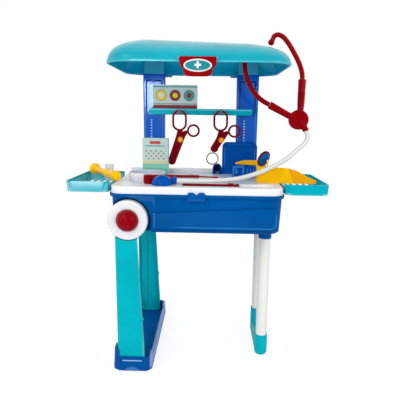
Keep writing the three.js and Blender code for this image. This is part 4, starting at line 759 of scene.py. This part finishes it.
def dome_top(x, y):
    """The height of the dome's outside over a place."""
    dx = max(0, abs(x) - (CANOPY_HALF_X - CANOPY_CORNER))
    dy = max(0, abs(y) - (CANOPY_HALF_Y - CANOPY_CORNER))
    edge = min(CANOPY_HALF_X - abs(x), CANOPY_HALF_Y - abs(y))
    if dx and dy:
        edge = CANOPY_CORNER - math.hypot(dx, dy)
    share = max(0, edge) / CANOPY_HALF_Y
    low = (0, 0)
    for rise, inset in CANOPY_SHARES:
        if inset >= share:
            step = (share - low[1]) / max(MERGE, inset - low[1])
            return lean(CANOPY_RIM + CANOPY_HEIGHT * (low[0] + (rise - low[0]) * step), x)
        low = (rise, inset)
    return lean(CANOPY_RIM + CANOPY_HEIGHT, x)


def dome_ring(inset, z, shrink):
    y = CANOPY_HALF_Y - inset - shrink
    ends = inset * CANOPY_END_SHARE if inset > 0 else inset
    corner = min(CANOPY_CORNER - shrink, y * CANOPY_CORNER_SHARE)
    ring = rounded_ring(CANOPY_HALF_X - ends - shrink, y, corner, z)
    return [Vector((p.x, p.y, lean(p.z / MM, p.x / MM) * MM)) for p in ring]


def make_canopy():
    dome = [(inset * CANOPY_HALF_Y, CANOPY_RIM + CANOPY_HEIGHT * rise) for rise, inset in CANOPY_SHARES]
    rings = [dome_ring(inset, z - CANOPY_WALL, CANOPY_WALL) for inset, z in reversed(dome)]
    rings += [dome_ring(inset, CANOPY_RIM + over, depth) for inset, over, depth in CANOPY_LIP]
    rings += [dome_ring(inset, z, 0) for inset, z in dome]
    bm = bmesh.new()
    loft_into(bm, rings)
    for side in (-1, 1):
        centre = (side * POST_X, SOCKET_Y)
        top = [Vector((p.x, p.y, (dome_top(p.x / MM, p.y / MM) - SOCKET_SUNK) * MM))
               for p in rounded_ring(*SOCKET_TOP, 0, centre, 2)]
        block_into(bm, SOCKET_ROWS, centre, top)
        block_into(bm, TAB_ROWS, (side * TAB_X, CANOPY_HALF_Y - TAB_INSET))
        block_into(bm, LUG_ROWS, (side * LUG_X, LUG_Y))
    canopy = smooth(to_object("canopy_dome", bm), 48)
    modify(canopy, "WEIGHTED_NORMAL", keep_sharp=True)
    dress(canopy, "canopy", "canopy", "canopy_shell")


# Wheels, caps and the axle
WHEEL_PROFILE = [(4.3, 16.5), (4.3, 0), (36, 0), (41, 2.4), (41, 18.2), (39.2, 20.5), (25.6, 20.5),
                 (24.6, 19.9), (22.8, 19.9), (22.8, 16.5), (4.3, 16.5)]
CAP_RADIUS, CAP_BACK, CAP_FOOT, CAP_RISE = 22.5, 16.8, 20.5, 18
CAP_BUTTON = [(7.2, 37.6), (6.4, 37.35), (5.4, 37.75), (3, 38.3), (0, 38.5)]
AXLE_RADIUS, AXLE_HALF = 4, 144.5


def make_wheels():
    arc = [k * math.pi / 40 for k in range(1, 16)]
    cap = [(0, CAP_BACK), (CAP_RADIUS, CAP_BACK), (CAP_RADIUS, CAP_FOOT)]
    cap += [(CAP_RADIUS * math.cos(a), CAP_FOOT + CAP_RISE * math.sin(a)) for a in arc]
    cap += CAP_BUTTON
    for label, side in (("front", -1), ("rear", 1)):
        origin = (WHEEL_X, side * WHEEL_Y, WHEEL_Z)
        axis = (0, side, 0)
        wheel = lathe(f"wheel_disc_{label}", WHEEL_PROFILE, origin, axis, 96, 1.6)
        dress(wheel, "white", f"{label}_wheel", f"wheel_{label}")
        dome = lathe(f"hub_dome_{label}", cap, origin, axis, 96, 0.5)
        dress(dome, "hub", f"{label}_wheel", f"hub_cap_{label}")
    rod = [(0, -AXLE_HALF), (AXLE_RADIUS, -AXLE_HALF), (AXLE_RADIUS, AXLE_HALF), (0, AXLE_HALF)]
    axle = lathe("axle_rod", rod, (WHEEL_X, 0, WHEEL_Z), (0, 1, 0), 40)
    dress(axle, "steel", "case", "wheel_axle")


# Pull handle tubes and their sockets
HANDLE_X, HANDLE_Y = 151, 57
TUBE_PROFILE = [(10.5, 14.3), (12.5, 14.3), (12.5, 301.4), (10.5, 301.4), (10.5, 14.3)]
CUP_PROFILE = [(0, 301.7), (12.8, 301.7), (12.8, 277.7), (14.7, 277.7), (14.7, 304.7), (0, 304.7)]


def make_handle():
    for label, side in (("front", -1), ("rear", 1)):
        origin = (HANDLE_X, side * HANDLE_Y, 0)
        tube = lathe(f"handle_pipe_{label}", TUBE_PROFILE, origin, sides=56, rounding=0.5)
        dress(tube, "tube", "handle", f"handle_tube_{label}")
        cup = lathe(f"handle_cup_{label}", CUP_PROFILE, origin, sides=56, rounding=0.6)
        dress(cup, "blue", "case", f"handle_socket_{label}")
    soften("handle_grip", "teal", 1.0, 8)


# Latch with a plain badge
BADGE_X, BADGE_Z = 0, 636.2
PLUS_REACH, PLUS_HALF = 6.2, 2.1
PLUS_SUNK, PLUS_PROUD = 0.2, 1.0
PIN_RADIUS, PIN_HALF, PIN_Y, PIN_Z = 1.1, 39.3, -152.0, 650.3


def plus_sign(y0, y1):
    bm = bmesh.new()
    corner = [(PLUS_HALF, PLUS_REACH), (PLUS_HALF, PLUS_HALF), (PLUS_REACH, PLUS_HALF)]
    outline = corner + [(x, -z) for x, z in corner[::-1]] + [(-x, -z) for x, z in corner]
    outline += [(-x, z) for x, z in corner[::-1]]
    points = [Vector((BADGE_X + x, y0, BADGE_Z + z)) * MM for x, z in outline]
    front = bm.faces.new([bm.verts.new(point) for point in points])
    run = bmesh.ops.extrude_face_region(bm, geom=[front])
    moved = [v for v in run["geom"] if isinstance(v, bmesh.types.BMVert)]
    bmesh.ops.translate(bm, verts=moved, vec=(0, (y1 - y0) * MM, 0))
    return smooth(to_object("badge_plus", bm), 30)


def make_latch():
    refine("latch_plate", "red", 1.1, 40, 3)
    rod = [(0, -PIN_HALF), (PIN_RADIUS, -PIN_HALF), (PIN_RADIUS, PIN_HALF), (0, PIN_HALF)]
    dress(lathe("latch_rod", rod, (0, PIN_Y, PIN_Z), (1, 0, 0), 20, 0.3), "steel", "canopy", "latch_pin")
    refine("badge_rim", "white", 0.7, 40, 3)
    refine("badge_field", "jade", 0.3, 40, 2)
    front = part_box("badge_field")[0].y / MM
    dress(plus_sign(front - PLUS_SUNK, front - PLUS_PROUD), "white", "latch")


# Stethoscope
CORD = [(-42, -105, 408.6), (-14.95, -104.43, 408.6), (12.1, -102.87, 408.91), (36.94, -100.74, 410),
        (63.98, -98, 411.51), (89.93, -94.99, 415), (136.02, -85.97, 428.96), (185.98, -70, 452.97),
        (213.99, -54.02, 473.95), (232.01, -42.02, 487.98), (238, -36.48, 500.03), (234, -34, 512.5)]
EAR_ONE = [(0.05, 0.04, 0.86), (0.037, 0.055, 1.0), (-0.028, 0.09, 1.2), (-0.15, 0.17, 1.45),
           (-0.27, 0.23, 1.65), (-0.37, 0.28, 1.77), (-0.47, 0.3, 1.817), (-0.55, 0.3, 1.795),
           (-0.59, 0.3, 1.715)]
EAR_TWO = [(-0.64, -0.01, 0.31), (-0.76, -0.01, 0.375), (-0.89, 0, 0.47), (-1.01, 0, 0.61), (-1.1, 0, 0.76),
           (-1.17, 0, 0.93), (-1.2, 0, 1.1), (-1.21, 0, 1.24)]
YOKE = Vector((217, -30, 537))
YOKE_SLEEVE = (0.04, 0.02, 0.23)
HEADSET_SIZE = 100
CORD_RADIUS = 4.8
# The ear tubes' radius, and how far each tube's start is moved along it, in millimetres
EAR_TUBE_RADIUS, EAR_TUBE_SUNK = 5.3, 0.8
BUD_PROFILE = [(0, 0.4), (5.1, 0.4), (5.4, 1.4), (6.6, 4.4), (7, 6.8), (6.2, 10), (4.2, 12.2), (2, 12.9),
               (0, 13)]
RIB_COUNT, RIB_START, RIB_STEP = 9, 0.1, 0.055
RIB_WIDTHS = ((0, -0.3), (0.012, 0.5), (0.024, 0.5), (0.036, -0.3))
SLEEVE_RADIUS, SLEEVE_TAPER = 7.4, 1.4


def swept(points, radius, sides=28):
    """Rings round a route, each turned as little as possible from the last."""
    rings = []
    up = (points[1] - points[0]).orthogonal()
    for i, place in enumerate(points):
        ahead = (points[min(i + 1, len(points) - 1)] - points[max(i - 1, 0)]).normalized()
        up = (up - ahead * up.dot(ahead)).normalized()
        side = ahead.cross(up)
        turns = (k * math.tau / sides for k in range(sides))
        rings.append([(place + (up * math.cos(t) + side * math.sin(t)) * radius) * MM for t in turns])
    return rings


def make_cord():
    points = route(CORD, 90)
    bm = bmesh.new()
    loft_into(bm, swept(points, CORD_RADIUS))
    tube = smooth(to_object("stethoscope_hose", bm), 40)
    dress(tube, "soft", None, "stethoscope_tube")
    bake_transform(tube)


def bud(name, points):
    end = Vector(points[-1])
    along = (end - Vector(points[-2])).normalized()
    return lathe(name, BUD_PROFILE, end, along, 40, 1.6)


def make_headset():
    for label, shares in (("outer", EAR_ONE), ("inner", EAR_TWO)):
        points = [YOKE + Vector(p) * HEADSET_SIZE for p in shares]
        points[0] += (points[1] - points[0]).normalized() * EAR_TUBE_SUNK
        tube = pipe(f"ear_pipe_{label}", route(points, 48), EAR_TUBE_RADIUS)
        dress(tube, "red", "canopy", f"ear_tube_{label}")
        dress(bud(f"ear_bud_{label}", points), "red", "canopy", f"ear_tip_{label}")
    soften("stethoscope_yoke", "red", 0.8, 7, "headset_yoke")
    foot, top = (YOKE + Vector(p) * HEADSET_SIZE for p in (YOKE_SLEEVE, EAR_ONE[0]))
    length = (top - foot).length
    ribs = []
    for k in range(RIB_COUNT):
        share = RIB_START + RIB_STEP * k
        radius = SLEEVE_RADIUS + SLEEVE_TAPER * share
        ribs += [(radius + rise, (share + step) * length) for step, rise in RIB_WIDTHS]
    profile = [(0, RIB_START * length), *ribs, (0, ribs[-1][1])]
    dress(lathe("headset_ribs", profile, foot, top - foot, 40, 0.25), "red", "canopy")


BEAD_RADIUS, BEAD_Y = 1.6, 116.1
BEAD_FOOT, BEAD_TOP = 548, 624
BEAD_HALF, BEAD_STRAIGHT, BEAD_TURN = 19.3, 15, 4.3


def make_post_beads():
    """A dark bead round the recess of each post, down to behind the shelf, whose dark colour is painted shade
    for the recess's edge.
    """
    for label, centre in (("left", -POST_X), ("right", POST_X)):
        points = [(centre - BEAD_HALF, BEAD_Y, BEAD_FOOT)]
        for side, start in ((-1, 180), (1, 90)):
            for k in range(9):
                t = math.radians(start - 90 * k / 8)
                points.append((centre + side * BEAD_STRAIGHT + BEAD_TURN * math.cos(t), BEAD_Y,
                               BEAD_TOP + BEAD_TURN * math.sin(t)))
        points.append((centre + BEAD_HALF, BEAD_Y, BEAD_FOOT))
        dress(pipe(f"post_bead_{label}", points, BEAD_RADIUS), "shade_line", "case")


CHEST_RADIUS, CHEST_FOOT, CHEST_SHOULDER, CHEST_RISE = 21.5, 401.1, 404, 17
CHEST_PLACE, SPOUT_PLACE, FLANGE_PLACE = (-72, -112, 0), (-73, -105, 408.6), (-49.8, -105, 409.8)
SPOUT_PROFILE = [(0, 0), (6.6, 0), (6.6, 26), (6, 30.7), (0, 30.7)]
FLANGE_PROFILE = [(0, 0), (8.5, 0), (8.5, 4.6), (0, 4.6)]


def make_chest_piece():
    arc = [k * math.pi / 30 for k in range(1, 15)]
    dome = [(0, CHEST_FOOT), (CHEST_RADIUS, CHEST_FOOT), (CHEST_RADIUS, CHEST_SHOULDER)]
    dome += [(CHEST_RADIUS * math.cos(a), CHEST_SHOULDER + CHEST_RISE * math.sin(a)) for a in arc]
    dome += [(0, CHEST_SHOULDER + CHEST_RISE)]
    bm = bmesh.new()
    lathe_into(bm, fillet(dome, 0.7), CHEST_PLACE, (0, 0, 1), 72)
    lathe_into(bm, fillet(SPOUT_PROFILE, 0.8), SPOUT_PLACE, (1, 0, 0), 48)
    lathe_into(bm, fillet(FLANGE_PROFILE, 1.2), FLANGE_PLACE, (1, 0, 0), 56)
    dress(smooth(to_object("chest_dome", bm), 40), "holder", "case", "chest_piece")


# Floor, light and world, in metres
FLOOR_TONES = ((0.74, 0.74, 0.74, 1), (0.8, 0.8, 0.8, 1))
FLOOR_SEEN = (0.22, 0.22, 0.22, 1)
FLOOR_GLOW = 0.84
FLOOR_FADE = (0.3, 1.6)
FLOOR_HALF, FLOOR_DROP = 6, 0.0004
# Each lamp's place, aim, power, width, height and colour
LAMPS = {
    "window": ((-0.31, -1.35, 0.68), (-0.12, 0.115, 0.6), 3.8, 0.15, 0.19, (0.96, 0.96, 1)),
    "key": ((-1.3, -1.7, 1.9), (0, 0, 0.4), 19, 1.3, 1.3, (1, 1, 1)),
    "fill": ((1.7, -1.3, 1.1), (0, 0, 0.4), 13, 0.9, 1.5, (0.96, 0.97, 1)),
    "top": ((0.1, 0.2, 2.4), (0, 0, 0.5), 5, 1.6, 1.6, (1, 1, 1)),
}
WORLD_COLOUR = (0.94, 0.95, 1, 1)
WORLD_STRENGTH = 0.68


def make_floor():
    n = Nodes("floor")
    tone = n.mix(n.noise(3, 3), *FLOOR_TONES)
    bounce = n.add("ShaderNodeBsdfDiffuse")
    n.put(bounce.inputs["Color"], tone)
    seen = n.add("ShaderNodeBsdfDiffuse")
    seen.inputs["Color"].default_value = FLOOR_SEEN
    glow = n.add("ShaderNodeEmission")
    glow.inputs["Color"].default_value = WHITE
    glow.inputs["Strength"].default_value = FLOOR_GLOW
    both = n.add("ShaderNodeAddShader")
    n.tree.links.new(seen.outputs[0], both.inputs[0])
    n.tree.links.new(glow.outputs[0], both.inputs[1])
    far = n.add("ShaderNodeVectorMath", operation="LENGTH")
    n.put(far.inputs[0], n.where)
    away = n.ramp(far.outputs["Value"], *FLOOR_FADE, smooth=True)
    white = n.add("ShaderNodeEmission")
    white.inputs["Color"].default_value = WHITE
    fade = n.add("ShaderNodeMixShader")
    n.put(fade.inputs[0], away)
    n.tree.links.new(both.outputs[0], fade.inputs[1])
    n.tree.links.new(white.outputs[0], fade.inputs[2])
    path = n.add("ShaderNodeLightPath")
    pick = n.add("ShaderNodeMixShader")
    n.tree.links.new(path.outputs["Is Camera Ray"], pick.inputs[0])
    n.tree.links.new(bounce.outputs[0], pick.inputs[1])
    n.tree.links.new(fade.outputs[0], pick.inputs[2])
    n.tree.links.new(pick.outputs[0], n.out.inputs[0])
    bm = bmesh.new()
    bmesh.ops.create_grid(bm, x_segments=8, y_segments=8, size=FLOOR_HALF)
    bmesh.ops.translate(bm, verts=bm.verts, vec=(0, 0, -FLOOR_DROP))
    floor = to_object("floor", bm)
    floor.data.materials.append(n.material)


def lamp(name, place, aim, power, width, height, colour):
    data = bpy.data.lights.new(name, "AREA")
    data.shape = "RECTANGLE"
    data.size, data.size_y, data.energy, data.color = width, height, power, colour
    obj = bpy.data.objects.new(name, data)
    obj.location = place
    obj.rotation_euler = (Vector(aim) - Vector(place)).to_track_quat("-Z", "Y").to_euler()
    scene.collection.objects.link(obj)


def make_light():
    for name, settings in LAMPS.items():
        lamp(name, *settings)
    world = bpy.data.worlds.new("world")
    world.use_nodes = True
    scene.world = world
    tree = world.node_tree
    tree.nodes.clear()
    out = tree.nodes.new("ShaderNodeOutputWorld")
    shade = tree.nodes.new("ShaderNodeBackground")
    shade.inputs["Color"].default_value = WORLD_COLOUR
    shade.inputs["Strength"].default_value = WORLD_STRENGTH
    white = tree.nodes.new("ShaderNodeBackground")
    white.inputs["Color"].default_value = WHITE
    white.inputs["Strength"].default_value = 1
    path = tree.nodes.new("ShaderNodeLightPath")
    either = tree.nodes.new("ShaderNodeMath")
    either.operation = "MAXIMUM"
    any_of = tree.nodes.new("ShaderNodeMath")
    any_of.operation = "MAXIMUM"
    tree.links.new(path.outputs["Is Camera Ray"], either.inputs[0])
    tree.links.new(path.outputs["Is Glossy Ray"], either.inputs[1])
    tree.links.new(either.outputs[0], any_of.inputs[0])
    tree.links.new(path.outputs["Is Transmission Ray"], any_of.inputs[1])
    mix = tree.nodes.new("ShaderNodeMixShader")
    tree.links.new(any_of.outputs[0], mix.inputs[0])
    tree.links.new(shade.outputs[0], mix.inputs[1])
    tree.links.new(white.outputs[0], mix.inputs[2])
    tree.links.new(mix.outputs[0], out.inputs[0])
    scene.view_settings.view_transform = "Standard"


# CAD nodes shown with rounded edges: the node, its look and the width of the rounding
REFINED = (
    ("case_body", "case", 1.2), ("latch_catch", "blue", 0.8), ("tray_insert", "tray", 1.0),
    ("leg_arm_front", "arm", 1.1), ("leg_arm_rear", "arm", 1.1), ("base_foot", "base", 1.2),
    ("post_left", "bright", 1.0), ("post_right", "bright", 1.0), ("shelf_bar", "shelf", 0.9),
    ("hook_left", "grey", 0.5), ("hook_right", "grey", 0.5), ("wing_left", "wing", 0.9),
    ("wing_right", "wing", 0.9), ("scissors_front_half", "dark_red", 0.7),
    ("scissors_rear_half", "dark_red", 0.7), ("clamp_front_half", "dark_red", 0.7),
    ("clamp_rear_half", "dark_red", 0.7), ("scissors_rivet", "orange", 0.5), ("clamp_rivet", "orange", 0.5),
    ("clamp_ring", "grey", 0.5), ("card_holder", "holder", 0.8), ("ear_cone", "cone", 0.6),
    ("scope_body", "scope", 1.0), ("reflex_hammer", "red", 0.6), ("thermometer", "dark_red", 0.3),
    ("mirror_band", "band", 0.5), ("mirror_face", "dark_red", 0.5), ("mirror_back", "blue", 0.6),
    ("syringe_barrel", "yellow", 0.8), ("syringe_plunger", "yellow", 0.8), ("flask", "clear", 0.3),
    ("medicine_box_shelf", "shelf_box", 0.5), ("medicine_box_tray", "standing_box", 0.5),
)

make_camera()
make_cord()
make_canopy()
make_wheels()
make_handle()
make_latch()
make_headset()
make_chest_piece()
make_post_beads()
for cad_node, look, edge in REFINED:
    refine(cad_node, look, edge)
make_floor()
make_light()
